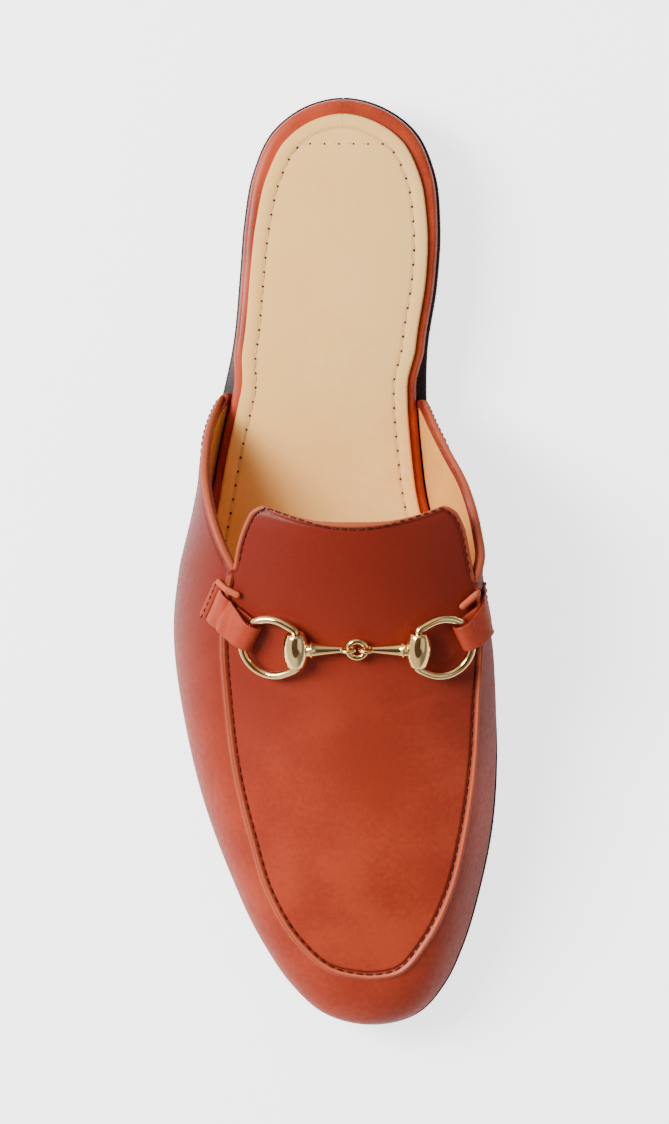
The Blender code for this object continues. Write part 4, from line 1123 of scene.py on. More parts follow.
def trough_depth(points):
    """How deep the listed creases are at each point."""
    depth = np.zeros(len(points))
    for x0, y0, x1, y1, width, most in CREASES:
        start, end = np.array([x0, y0]) * MM, np.array([x1, y1]) * MM
        along = end - start
        share = np.clip((points[:, :2] - start) @ along / (along @ along), 0, 1)
        centre = start + along * share[:, None]
        centre[:, 1] += CREASE_BOW * np.sin(math.pi * share)
        away = np.linalg.norm(points[:, :2] - centre, axis=1)
        fade = np.sin(math.pi * np.clip(share, *CREASE_ENDS)) ** CREASE_FADE
        depth += most * CREASE_STRENGTH * MM * bell(away, width * MM) * fade
    return depth


# %% Grids to one surface
FINE_STEP = 0.00012
FORM_WELD = 1e-6
NO_LENGTH = 1e-7
ON_EDGE = 1e-6
# A point of one part counts as this much farther from the other part's free edge
OTHER_PART = 0.0002


def dense(points, step=FINE_STEP):
    """A line of points refined until its steps are short."""
    points = np.asarray(points)
    arc = arc_lengths(points)
    wanted = np.linspace(0, arc[-1], int(arc[-1] / step) + 2)
    return np.stack([np.interp(wanted, arc, points[:, i]) for i in range(3)], axis=1)


def distances(points, line):
    """Distance from each point to the nearest place on a line."""
    tree = KDTree(len(line))
    for i, place in enumerate(line):
        tree.insert(place, i)
    tree.balance()
    return np.array([tree.find(p)[2] for p in points])


def grid_faces(rows, columns, turned):
    quads = []
    for r in range(rows - 1):
        for c in range(columns - 1):
            a = r * columns + c
            quad = (a, a + 1, a + columns + 1, a + columns)
            quads.append(quad[::-1] if turned else quad)
    return quads


def welded_form():
    """The whole form, welded at the seam: points, normals, part numbers, faces and border edges.

    The parts are 0 for the apron, 1 for the lateral wall and 2 for the medial wall."""
    shape = bmesh.new()
    layer = shape.verts.layers.int.new("part")
    turned_rows = ((apron_rows, False), (lateral_rows, True), (medial_rows, False))
    for part, (rows, turned) in enumerate(turned_rows):
        verts = [shape.verts.new(p) for p in rows.reshape(-1, 3)]
        for v in verts:
            v[layer] = part
        for face in grid_faces(rows.shape[0], rows.shape[1], turned):
            shape.faces.new([verts[i] for i in face])
    bmesh.ops.remove_doubles(shape, verts=shape.verts, dist=FORM_WELD)
    bmesh.ops.dissolve_degenerate(shape, edges=shape.edges, dist=NO_LENGTH)
    bmesh.ops.recalc_face_normals(shape, faces=shape.faces)
    if sum(f.normal.z * f.calc_area() for f in shape.faces) < 0:
        bmesh.ops.reverse_faces(shape, faces=shape.faces)
    shape.normal_update()
    shape.verts.index_update()
    points = np.array([v.co for v in shape.verts])
    normals = np.array([v.normal for v in shape.verts])
    parts = np.array([v[layer] for v in shape.verts])
    faces = [tuple(v.index for v in f.verts) for f in shape.faces]
    border = [tuple(v.index for v in e.verts) for e in shape.edges if e.is_boundary]
    shape.free()
    return points, normals, parts, faces, border


form_points, form_normals, form_parts, form_faces, form_border = welded_form()
quarter_edges = [
    np.vstack([rows[SEAM_RIB_COUNT:, 0], rows[-1]]) for rows in (lateral_rows, medial_rows)
]
tongue_edges = [apron_rows[SEAM_RIB_COUNT:, 0], apron_rows[-1], apron_rows[SEAM_RIB_COUNT:, -1]]
seam_line = np.vstack([lateral_rows[SEAM_RIB_COUNT::-1, 0], medial_rows[: SEAM_RIB_COUNT + 1, 0]])
seam_away = distances(form_points, dense(seam_line))
quarter_away = distances(form_points, np.vstack([dense(e) for e in quarter_edges]))
tongue_away = distances(form_points, np.vstack([dense(e) for e in tongue_edges]))
edge_away = np.where(form_parts == 0, tongue_away, quarter_away)
edge_away = np.minimum(edge_away, np.minimum(quarter_away, tongue_away) + OTHER_PART)
print("form:", len(form_points), "points,", len(form_faces), "faces")


# %% Shell of the upper
def build_shell():
    """The upper's two faces, with its ridge, channel, bound edges, creases and the marks of its tones.

    Returns the object, and the points of the outer face for what lies on it."""
    on_tongue = form_parts == 0
    signed = np.where(on_tongue, seam_away, -seam_away)
    notch_away = np.minimum(quarter_away, tongue_away)
    notch_fade = smooth_step((notch_away - NOTCH_START) / NOTCH_BLEND)
    ridge = RIDGE_RISE * bell(signed - RIDGE_PLACE, RIDGE_WIDTH) * notch_fade
    channel = CHANNEL_DEPTH * bell(signed - CHANNEL_PLACE, CHANNEL_WIDTH) * notch_fade
    bound = np.where(on_tongue, TURNED_SHARE, 1.0)
    band = np.where(on_tongue, TURNED_WIDTH, BINDING_WIDTH)
    rise = bound * BINDING_RISE * (1 - smooth_step((edge_away - band + BAND_EDGE) / BAND_SLOPE))
    beyond = edge_away - band - STITCH_INSET
    dip = STITCH_DIP * bell(beyond, STITCH_DIP_WIDTH) * np.where(on_tongue, TONGUE_DIP_SHARE, 1.0)
    fill = np.sqrt(1 - (1 - np.clip(edge_away / ROUND_REACH, 0, 1)) ** 2)
    half = (WALL / 2 + rise) * fill
    relief = (ridge - channel - dip * fill) - trough_depth(form_points) * fill
    outer = form_points + form_normals * (half - WALL / 2 + relief)[:, None]
    inner = form_points - form_normals * (WALL / 2 + half)[:, None]
    closed = edge_away < ON_EDGE
    count = len(form_points)
    inner_index = np.where(closed, np.arange(count), np.cumsum(~closed) - 1 + count)
    points = np.vstack([outer, inner[~closed]])
    faces = list(form_faces)
    kinds = [0] * len(faces)
    for face in form_faces:
        faces.append(tuple(inner_index[i] for i in face[::-1]))
        corners = list(face)
        wrapped = TURNED_WIDTH if on_tongue[corners].all() else BINDING_WIDTH
        kinds.append(0 if edge_away[corners].mean() < wrapped else 1)
    directed = set()
    for face in form_faces:
        directed.update(zip(face, face[1:] + face[:1]))
    for a, b in form_border:
        if closed[a] and closed[b]:
            continue
        if (a, b) not in directed:
            a, b = b, a
        ring = [b, a, inner_index[a], inner_index[b]]
        ring = [v for k, v in enumerate(ring) if v not in ring[:k]]
        if len(ring) > 2:
            faces.append(tuple(int(v) for v in ring))
            kinds.append(0)
    obj = mesh_object("upper_shell", points, faces)
    for material in (upper_leather, lining_leather):
        obj.data.materials.append(material)
    obj.data.polygons.foreach_set("material_index", kinds)
    # The seam ridge and its crest get a painted highlight, and the bound edges are rubbed paler
    ridge_highlight = RIDGE_HIGHLIGHT * bell(signed - RIDGE_PLACE, RIDGE_WIDTH)
    crest_highlight = CREST_HIGHLIGHT * bell(signed - CREST_PLACE, CREST_WIDTH)
    worn_edge = EDGE_WORN * (1 - smooth_step((edge_away - EDGE_WORN_START) / EDGE_WORN_SLOPE))
    wear_and_highlight = np.maximum(np.maximum(ridge_highlight, crest_highlight) * notch_fade, worn_edge)
    # Painted shade: the stitch channel and the stitched dip inside the bound edges are darkened
    channel_shade = bell(signed - CHANNEL_PLACE, CHANNEL_WIDTH * CHANNEL_SHADE_SHARE) * notch_fade
    dark = np.maximum(CHANNEL_SHADE * channel_shade, DIP_SHADE * bell(beyond, DIP_SHADE_WIDTH))
    for label, values in (("wear_and_highlight", wear_and_highlight), ("dark", dark)):
        full = np.zeros(len(points))
        full[:count] = values
        point_values(obj, label, full)
    return obj, outer


shell, shell_outer = build_shell()
surface_tree = BVHTree.FromPolygons([tuple(p) for p in shell_outer], form_faces)
finish_piece(shell, "upper_leather", "upper")

# %% [markdown]
# ## Stitches
#
# A shoe's seams are rows of short threads, each a little capsule half sunk in the leather, with a
# needle hole at each end. Geometry Nodes make them from a line: the line is resampled at the stitch
# pitch, one capsule is placed at each point and turned along the line, and the same line, started half
# a pitch later, gets the holes, each a small dark capsule in the shadow material: painted shadow. One
# tree serves every seam, with the pitch and sizes as its inputs.


# %% Stitch tree
CAPSULE_SEGMENTS, CAPSULE_RINGS = 8, 6
PAST_ANY_LINE = 10.0


def socket_id(tree, label):
    inputs = [s for s in tree.interface.items_tree if s.in_out == "INPUT"]
    return next(s.identifier for s in inputs if s.name == label)


def build_stitch_tree():
    tree = bpy.data.node_groups.new("stitch_row", "GeometryNodeTree")
    for label, kind, default in (
        ("Geometry", "NodeSocketGeometry", None),
        ("Pitch", "NodeSocketFloat", 0.003),
        ("Length", "NodeSocketFloat", 0.0022),
        ("Thickness", "NodeSocketFloat", 0.0006),
        ("Hole", "NodeSocketFloat", 0.0005),
        ("Thread", "NodeSocketMaterial", None),
        ("Shadow", "NodeSocketMaterial", None),
    ):
        socket = tree.interface.new_socket(label, in_out="INPUT", socket_type=kind)
        if default is not None:
            socket.default_value = default
    tree.interface.new_socket("Geometry", in_out="OUTPUT", socket_type="NodeSocketGeometry")
    source, result = tree.nodes.new("NodeGroupInput"), tree.nodes.new("NodeGroupOutput")
    link = tree.links.new
    join = tree.nodes.new("GeometryNodeJoinGeometry")
    half = add_node(tree, "ShaderNodeMath", operation="MULTIPLY")
    half.inputs[1].default_value = 0.5
    link(source.outputs["Pitch"], half.inputs[0])
    for offset, length, width, material in (
        (False, "Length", "Thickness", "Thread"),
        (True, "Hole", "Hole", "Shadow"),
    ):
        line = source.outputs["Geometry"]
        if offset:
            trim = add_node(tree, "GeometryNodeTrimCurve", mode="LENGTH")
            link(line, trim.inputs["Curve"])
            starts = [s for s in trim.inputs if s.name == "Start" and s.enabled]
            link(half.outputs[0], starts[0])
            ends = [s for s in trim.inputs if s.name == "End" and s.enabled]
            ends[0].default_value = PAST_ANY_LINE
            line = trim.outputs["Curve"]
        resample = add_node(tree, "GeometryNodeResampleCurve")
        resample.mode = "LENGTH"
        link(line, resample.inputs["Curve"])
        link(source.outputs["Pitch"], [s for s in resample.inputs if s.name == "Length"][0])
        capsule = add_node(tree, "GeometryNodeMeshUVSphere")
        capsule.inputs["Segments"].default_value = CAPSULE_SEGMENTS
        capsule.inputs["Rings"].default_value = CAPSULE_RINGS
        capsule.inputs["Radius"].default_value = 0.5
        size = add_node(tree, "ShaderNodeCombineXYZ")
        link(source.outputs[length], size.inputs["X"])
        link(source.outputs[width], size.inputs["Y"])
        link(source.outputs[width], size.inputs["Z"])
        shaped = add_node(tree, "GeometryNodeTransform")
        link(capsule.outputs["Mesh"], shaped.inputs["Geometry"])
        link(size.outputs["Vector"], shaped.inputs["Scale"])
        tangent = add_node(tree, "GeometryNodeInputTangent")
        turn = add_node(tree, "FunctionNodeAlignRotationToVector", axis="X")
        link(tangent.outputs["Tangent"], turn.inputs["Vector"])
        place = add_node(tree, "GeometryNodeInstanceOnPoints")
        link(resample.outputs["Curve"], place.inputs["Points"])
        link(shaped.outputs["Geometry"], place.inputs["Instance"])
        link(turn.outputs["Rotation"], place.inputs["Rotation"])
        real = add_node(tree, "GeometryNodeRealizeInstances")
        link(place.outputs["Instances"], real.inputs["Geometry"])
        paint = add_node(tree, "GeometryNodeSetMaterial")
        link(real.outputs["Geometry"], paint.inputs["Geometry"])
        link(source.outputs[material], paint.inputs["Material"])
        link(paint.outputs["Geometry"], join.inputs["Geometry"])
    smooth = add_node(tree, "GeometryNodeSetShadeSmooth")
    link(join.outputs["Geometry"], smooth.inputs["Geometry"])
    link(smooth.outputs["Geometry"], result.inputs["Geometry"])
    return tree


stitch_tree = build_stitch_tree()


# Sizes of each seam's stitches in metres, named as the tree's inputs are
SEAM_STITCH = {"Pitch": 0.0027, "Length": 0.0020, "Thickness": 0.0005, "Hole": 0.0005}
TONGUE_STITCH = {"Pitch": 0.0023, "Length": 0.0015, "Thickness": 0.00056, "Hole": 0.00058}
SOCK_STITCH = {"Pitch": 0.0040, "Length": 0.0026, "Thickness": 0.00042, "Hole": 0.00072}
KEEPER_STITCH = {"Pitch": 0.0021, "Length": 0.0015, "Thickness": 0.00045, "Hole": 0.00045}


def stitch_row(name, lines, slot, sizes, thread=thread_brown):
    """One piece with all the stitches along some lines of points, given in the drawing."""
    curve = bpy.data.curves.new(name, "CURVE")
    curve.dimensions = "3D"
    for line in lines:
        spline = curve.splines.new("POLY")
        spline.points.add(len(line) - 1)
        spline.points.foreach_set("co", np.column_stack([line, np.ones(len(line))]).ravel())
    obj = add_object(name, curve)
    rows = obj.modifiers.new("Stitches", "NODES")
    rows.node_group = stitch_tree
    for label, value in {**sizes, "Thread": thread, "Shadow": needle_shadow}.items():
        rows[socket_id(stitch_tree, label)] = value
    return finish_piece(bake(obj), slot)


# %% [markdown]
# ## Seam lines on the upper
#
# A stitch line runs at a fixed distance from its edge. It is found on the grids: on each rib or strip,
# the point that lies that far from the edge, then dropped onto the finished surface so that the thread
# beds in its channel.


# %% Stitch lines of the upper
def at_distance(row, distance):
    """The point of one rib or strip that lies a given distance from its first point."""
    arc = arc_lengths(row)
    return np.array([np.interp(distance, arc, row[:, i]) for i in range(3)])


def bedded(points, lift):
    """Points moved to the nearest place on the upper's outer face, then raised along its normal."""
    placed = []
    for point in points:
        place, normal = surface_tree.find_nearest(Vector(point))[:2]
        if place is not None:
            placed.append(place + normal * lift)
    return np.array(placed)


# How many strips at the toe and the notch have no stitch, how many rows and columns the tongue's line
# leaves out at the notch and at its round corners, and how far threads lie above the leather
SEAM_STITCH_START, SEAM_STITCH_END = 3, 6
TONGUE_START, TONGUE_SIDE_CUT, TONGUE_TOP_CUT = 4, 9, 6
QUARTER_START = 3
STITCH_LIFT = 0.00018
TOPLINE_LIFT = 0.00004
TONGUE_STEP = 0.0006

stitched_rows = apron_rows[SEAM_STITCH_START : SEAM_RIB_COUNT - SEAM_STITCH_END]
medial_end = apron_rows[SEAM_RIB_COUNT - SEAM_STITCH_END]
channel_points = [at_distance(row[::-1], CHANNEL_PLACE) for row in [medial_end, *stitched_rows[::-1]]]
channel_points += [at_distance(row, CHANNEL_PLACE) for row in stitched_rows]
stitch_row("apron_stitches", [bedded(channel_points, STITCH_LIFT)], "upper_leather", SEAM_STITCH)

tongue_inset = TURNED_WIDTH + STITCH_INSET
tongue_rows = apron_rows[SEAM_RIB_COUNT + TONGUE_START :]
sides = [[at_distance(row[::step], tongue_inset) for row in tongue_rows] for step in (1, -1)]
top_rows = apron_rows[SEAM_RIB_COUNT:, TONGUE_TOP_CUT:-TONGUE_TOP_CUT]
top_line = [at_distance(top_rows[::-1, c], tongue_inset) for c in range(top_rows.shape[1])]
near_side, far_side = sides[0][:-TONGUE_SIDE_CUT], sides[1][: -TONGUE_SIDE_CUT - 1]
tongue_line = dense(np.vstack([near_side, top_line, far_side[::-1]]), TONGUE_STEP)
stitch_row("tongue_stitches", [bedded(tongue_line, STITCH_LIFT)], "upper_leather", TONGUE_STITCH)

TALL_RIB = 0.008
quarter_lines = []
for rows in (lateral_rows, medial_rows):
    quarter = rows[SEAM_RIB_COUNT + QUARTER_START :]
    tall = [row for row in quarter if np.linalg.norm(row[0] - row[-1]) > TALL_RIB]
    line = [at_distance(row, BINDING_WIDTH + STITCH_INSET) for row in tall]
    quarter_lines.append(bedded(line, TOPLINE_LIFT))
stitch_row("topline_stitches", quarter_lines, "upper_leather", SEAM_STITCH)

# %% Stitches of the sock
SOCK_STITCH_STATIONS = 260
SOCK_STITCH_START, SOCK_STITCH_END = 0.0068, 0.150
SOCK_STITCH_LIFT = 0.00006
sock_y = full_stations(SOCK_STITCH_STATIONS)
sock_y = sock_y[(sock_y > SOCK_STITCH_START) & (sock_y < SOCK_STITCH_END)]
sock_lines = []
for side, order in (("lateral", -1), ("medial", 1)):
    shares = outline.share_at(sock_y, side)
    plan = outline.at(shares, sock_inset(sock_y) + SOCK_CHANNEL)
    rise = sock_base(plan[:, 1]) + SOCK_THICKNESS - SOCK_DIP + SOCK_STITCH_LIFT
    sock_lines.append(np.column_stack([plan, rise])[::order])
stitch_row("sock_stitches", [np.vstack(sock_lines)], "sock_leather", SOCK_STITCH, thread_pale)

# %% [markdown]
# ## Where the hardware lies
#
# The bit rests on the vamp by its own weight and is held by two straps. Its place is found as it is on
# the bench: a ray is dropped on the upper under each named point, and the surface's slope there tips
# the link, the barrels and the rings. The solid's own upper is used for this, so the dressed bit falls
# on the solid one.

# %% Sizes of hardware and straps
RING_RADIUS = 0.0083
RING_WIRE = 0.00115
RING_SETBACK = 0.0070
BARREL_RADIUS = 0.0035
BARREL_END_RADIUS = 0.0025
BARREL_LENGTH = 0.0098
COLLAR_RADIUS = 0.0024
COLLAR_OFFSET = 0.0004
COLLAR_LENGTH = 0.0006
CONE_RADIUS = 0.0019
CONE_TIP_RADIUS = 0.0009
BIT_HALF_LENGTH = 0.0166
BIT_SWEEP = math.radians(5)
BARREL_FALL = math.radians(10)
RING_FALL = math.radians(25)
RING_BEND = math.radians(114)
LINK_RADIUS = 0.0024
LINK_WIRE = 0.00085
EYE_RADIUS = 0.00175
EYE_WIRE = 0.00055
EYE_REACH = BIT_HALF_LENGTH - (LINK_RADIUS - LINK_WIRE - GAP - EYE_WIRE) - EYE_RADIUS

STRAP_THICKNESS = 0.0010
STRAP_LENGTH = 0.0119
STRAP_WIDTH_AT_SLIT = 0.0118
STRAP_WIDTH_AT_RING = 0.0080
STRAP_TUCK = 0.0050
STRAP_EASE = 0.00045
STRAP_LIFT = 0.00045
STRAP_TURN = math.radians(26)
STRAP_STEP_OUT = 0.0026
STRAP_TOP_TURN = 30
WIRE_HEIGHT = STRAP_LIFT + STRAP_THICKNESS + STRAP_EASE + RING_WIRE
UNDER_SHARES = (0.2, 0.4, 0.6, 0.8, 1.0)
BAR_WIDTH = 0.0018
BAR_THICKNESS = 0.0012

# Hardware places: x (share of BALL_WIDTH), y (share of LENGTH)
LINK_PLACE = (-0.053, 0.592)
NOTCH_BAR_ENDS = {
    "lateral": ((0.360, 0.518), (0.293, 0.534)),
    "medial": ((-0.412, 0.530), (-0.358, 0.546)),
}

# How surfaces are probed: reach of a ray, depth it aims at, turn and number of a section's rays, half
# width of a patch, reach of a search, rounds of lifting and sections side by side
RAY_REACH = 0.15
SECTION_DEPTH = 0.022
SECTION_TURN = (math.radians(-30), math.radians(90))
SECTION_RAYS = 121
PATCH = 0.0012
NEAR = 0.004
RING_LIFTS = 3
BAND_SECTIONS = 5


# %% Probing the solid upper
def solid_tree(node):
    """A search tree over one solid, in the drawing's coordinates. The solid itself isn't touched."""
    mesh = frame["nodes"][node].data
    points = [v.co - SHIFT for v in mesh.vertices]
    return BVHTree.FromPolygons(points, [tuple(f.vertices) for f in mesh.polygons])


solid_upper = solid_tree("upper")


def hit(inside, direction):
    """Place on the upper's outer face where a ray from an inside point leaves the shoe."""
    direction = direction.normalized()
    return solid_upper.ray_cast(inside + direction * RAY_REACH, -direction)[0]


def below(x, y):
    """Place on the upper under a plan point, and the slope's normal there over a small patch."""
    places = []
    for dx, dy in ((0, 0), (1, 0), (0, 1), (-1, 0), (0, -1)):
        places.append(hit(Vector((x + dx * PATCH, y + dy * PATCH, 0.0)), Vector((0.0, 0.0, 1.0))))
    normal = (places[1] - places[3]).cross(places[2] - places[4]).normalized()
    return places[0], normal


class Section:
    """The taut line over the upper in one plane. Points are given by way along and height above it."""

    def __init__(self, origin, along, normal):
        inside = origin - normal * SECTION_DEPTH
        hull = []
        for angle in np.linspace(*SECTION_TURN, SECTION_RAYS):
            place = hit(inside, normal * math.cos(angle) + along * math.sin(angle))
            if place is None:
                continue
            point = ((place - origin).dot(along), (place - origin).dot(normal))
            while len(hull) > 1 and self.turns_up(hull[-2], hull[-1], point):
                hull.pop()
            hull.append(point)
        self.hull = np.array(hull)
        arc = arc_lengths(self.hull)
        self.arc = arc - np.interp(0.0, self.hull[:, 0], arc)
        self.origin, self.along, self.normal = origin, along, normal

    @staticmethod
    def turns_up(first, second, third):
        ax, ay = second[0] - first[0], second[1] - first[1]
        bx, by = third[0] - second[0], third[1] - second[1]
        return ax * by - ay * bx >= 0

    def flat(self, way):
        return np.array([np.interp(way, self.arc, self.hull[:, i]) for i in (0, 1)])

    def nearest(self, point):
        """Way along the line to the place nearest to a point, and the point's distance from it."""
        wanted = np.array([(point - self.origin).dot(self.along), (point - self.origin).dot(self.normal)])
        ways = np.linspace(-NEAR, NEAR, SECTION_RAYS)
        gaps = [np.linalg.norm(wanted - self.flat(way)) for way in ways]
        best = int(np.argmin(gaps))
        return ways[best], gaps[best]

    def at(self, way, height):
        ahead = self.flat(way + PATCH) - self.flat(way - PATCH)
        ahead /= np.linalg.norm(ahead)
        place = self.flat(way) + np.array([-ahead[1], ahead[0]]) * height
        return self.origin + self.along * place[0] + self.normal * place[1]


class Band:
    """A strip of leather over the upper: a few sections side by side, blended across its width."""

    def __init__(self, origin, along, normal, full_width):
        self.full_width = full_width
        self.across = normal.cross(along).normalized()
        self.shares = np.linspace(-0.5, 0.5, BAND_SECTIONS)
        self.sections = []
        for share in self.shares:
            shifted = origin + self.across * full_width * float(share)
            self.sections.append(Section(hit(shifted - normal * SECTION_DEPTH, normal), along, normal))

    def heights(self, point):
        """How high a straight wire through a point passes above each section."""
        return np.array([section.nearest(point)[1] for section in self.sections])

    def at(self, way, height, offset, rises):
        """A point of the strip, blended by one polynomial through the same place on every section."""
        place = offset / self.full_width
        point = Vector()
        for i, section in enumerate(self.sections):
            others = np.delete(self.shares, i)
            weight = float(np.prod((place - others) / (self.shares[i] - others)))
            point += section.at(way, height + float(rises[i])) * weight
        return point


# %% Frames of the bit
def ring_frame(link, barrel, outer, normal):
    ahead = (outer - barrel).normalized()
    return link, barrel, ahead, (normal - ahead * normal.dot(ahead)).normalized()


def strap_band(bit):
    """The place on the ring's wire that the strap holds, and the strip from there to the slit."""
    barrel, ahead, up = bit[1:]
    rearward = up.cross(ahead)
    if rearward.y > 0:
        rearward = -rearward
    outward = ahead * math.cos(STRAP_TURN) + rearward * math.sin(STRAP_TURN)
    wire = barrel + ahead * RING_SETBACK + outward * RING_RADIUS
    return wire, Band(hit(wire - up * SECTION_DEPTH, up), outward, up, STRAP_WIDTH_AT_SLIT)


def bit_frame(side):
    """Where one half of the bit lies: the link's centre, the barrel's centre, and the ring's plane."""
    sign = 1.0 if side == "lateral" else -1.0
    link_x, link_y = LINK_PLACE[0] * BALL_WIDTH, LINK_PLACE[1] * LENGTH
    place, normal = below(link_x, link_y)
    link = place + normal * (EYE_RADIUS + EYE_WIRE + GAP)
    sweep = Vector((sign * math.cos(BIT_SWEEP), -math.sin(BIT_SWEEP), 0.0))
    reach = BIT_HALF_LENGTH * math.cos(BARREL_FALL)
    place, normal = below(link_x + sweep.x * reach, link_y + sweep.y * reach)
    barrel = link + (place + normal * (BARREL_RADIUS + GAP) - link).normalized() * BIT_HALF_LENGTH
    reach += (RING_SETBACK + RING_RADIUS) * math.cos(RING_FALL)
    place, outer_normal = below(link_x + sweep.x * reach, link_y + sweep.y * reach)
    outer = place + outer_normal * WIRE_HEIGHT
    bit = ring_frame(link, barrel, outer, normal)
    for _ in range(RING_LIFTS):
        wire, band = strap_band(bit)
        outer += bit[3] * max(0.0, WIRE_HEIGHT - float(band.heights(wire).min()))
        bit = ring_frame(link, barrel, outer, normal)
    return bit


def mouthpiece_axes(bit):
    """Directions of one mouthpiece half: towards the link, square to the leather, along the barrel."""
    link, barrel, ahead, up = bit
    axis = up.cross(ahead).normalized()
    inward = (link - barrel).normalized()
    inward = (inward - axis * inward.dot(axis)).normalized()
    return inward, axis.cross(inward), axis


bits = {side: bit_frame(side) for side in ("lateral", "medial")}
for side, bit in bits.items():
    print(side, "barrel centre in mm:", [round(v * 1000, 1) for v in bit[1]])


# %% [markdown]
# ## The snaffle bit
#
# Each half of the mouthpiece is turned on a lathe: a swelling barrel that the ring passes through, a
# collar, a cone and an eye. So each is drawn as a profile and turned. The D-rings are bent wire:
# straight through the barrel and round outside it. The small link holds both eyes, which is what lets
# the two halves move.


# %% Turned metal
def turned_faces(shape, profile, steps, place, closed=False):
    """Adds a profile of (radius, height) points, turned about the local Z axis, to a mesh."""
    rows = []
    for radius, height in profile:
        ring = []
        for k in range(steps):
            angle = 2 * math.pi * k / steps
            point = Vector((radius * math.cos(angle), radius * math.sin(angle), height))
            ring.append(shape.verts.new(place @ point))
        rows.append(ring)
    pairs = list(zip(rows, rows[1:]))
    if closed:
        pairs.append((rows[-1], rows[0]))
    for near, far in pairs:
        for k in range(steps):
            n = (k + 1) % steps
            shape.faces.new((near[k], near[n], far[n], far[k]))


def round_profile(radius, offset, count=20):
    """A circle as a profile, for a ring of wire."""
    angles = np.linspace(0.0, 2 * math.pi, count, endpoint=False)
    return [(offset + radius * math.cos(a), radius * math.sin(a)) for a in angles]


METAL_WELD = 1e-6
METAL_SHARP_ANGLE = math.radians(42)


def metal_object(name, shape):
    obj = shape_object(name, shape, METAL_WELD, METAL_SHARP_ANGLE)
    obj.data.materials.append(bit_gold)
    return obj


BARREL_RIM = 0.00028
BARREL_STEPS = 24
BARREL_TURN_STEPS, CONE_TURN_STEPS, EYE_TURN_STEPS = 48, 32, 36
COLLAR_STEPS = 9
CONE_STEPS = 12
CONE_WAIST = 0.8
EYE_OVERLAP = 0.3


def make_mouthpiece(side):
    bit = bits[side]
    inward, height, axis = mouthpiece_axes(bit)
    place = Matrix.Translation(bit[1]) @ Matrix((inward, height, axis)).transposed().to_4x4()
    shape = bmesh.new()
    half, bore = BARREL_LENGTH / 2, RING_WIRE + GAP
    swell = BARREL_RADIUS - BARREL_END_RADIUS
    barrel = [(bore, -half), (BARREL_END_RADIUS - BARREL_RIM, -half)]
    for share in np.linspace(-1.0, 1.0, BARREL_STEPS + 1):
        height_here = share * (half - BARREL_RIM)
        barrel.append((BARREL_END_RADIUS + swell * (1 - share * share), height_here))
    barrel += [(BARREL_END_RADIUS - BARREL_RIM, half), (bore, half)]
    turned_faces(shape, barrel, BARREL_TURN_STEPS, place, closed=True)
    tip = EYE_REACH - EYE_RADIUS + EYE_OVERLAP * EYE_WIRE
    flange, neck = BARREL_RADIUS + COLLAR_OFFSET, bore + BARREL_RIM
    cone = [(0.0, neck), (CONE_RADIUS, neck), (CONE_RADIUS, flange - BARREL_RIM)]
    for angle in np.linspace(-math.pi / 2, math.pi / 2, COLLAR_STEPS):
        radius = COLLAR_RADIUS - COLLAR_LENGTH * (1 - math.cos(angle)) * 0.5
        cone.append((radius, flange + COLLAR_LENGTH / 2 * (1 + math.sin(angle))))
    start = flange + COLLAR_LENGTH + BARREL_RIM
    for share in np.linspace(0.0, 1.0, CONE_STEPS):
        waist = CONE_RADIUS + (CONE_TIP_RADIUS - CONE_RADIUS) * share**CONE_WAIST
        cone.append((waist, start + (tip - start) * share))
    cone.append((0.0, tip))
    turned_faces(shape, cone, CONE_TURN_STEPS, place @ Matrix.Rotation(math.pi / 2, 4, "Y"))
    eye = place @ Matrix.Translation((EYE_REACH, 0.0, 0.0))
    turned_faces(shape, round_profile(EYE_WIRE, EYE_RADIUS), EYE_TURN_STEPS, eye, closed=True)
    return finish_piece(metal_object("bit_half_" + side, shape), "bit_metal", "mouthpiece_" + side)


LINK_TURN_STEPS, LINK_WIRE_STEPS = 48, 24


def make_link():
    ends = [bit[1] + mouthpiece_axes(bit)[0] * EYE_REACH for bit in bits.values()]
    across = (ends[0] - ends[1]).normalized()
    up = sum((mouthpiece_axes(bit)[1] for bit in bits.values()), Vector())
    up = (up - across * up.dot(across)).normalized()
    turn = Matrix((across, up.cross(across), up)).transposed().to_4x4()
    place = Matrix.Translation((ends[0] + ends[1]) / 2) @ turn
    shape = bmesh.new()
    profile = round_profile(LINK_WIRE, LINK_RADIUS, LINK_WIRE_STEPS)
    turned_faces(shape, profile, LINK_TURN_STEPS, place, closed=True)
    return finish_piece(metal_object("bit_link", shape), "bit_metal", "centre_link")


for side in bits:
    make_mouthpiece(side)
make_link()

# %% D-rings
RING_BEND_POINTS = 12
RING_ROUND_POINTS = 44
RING_BEVEL = 9


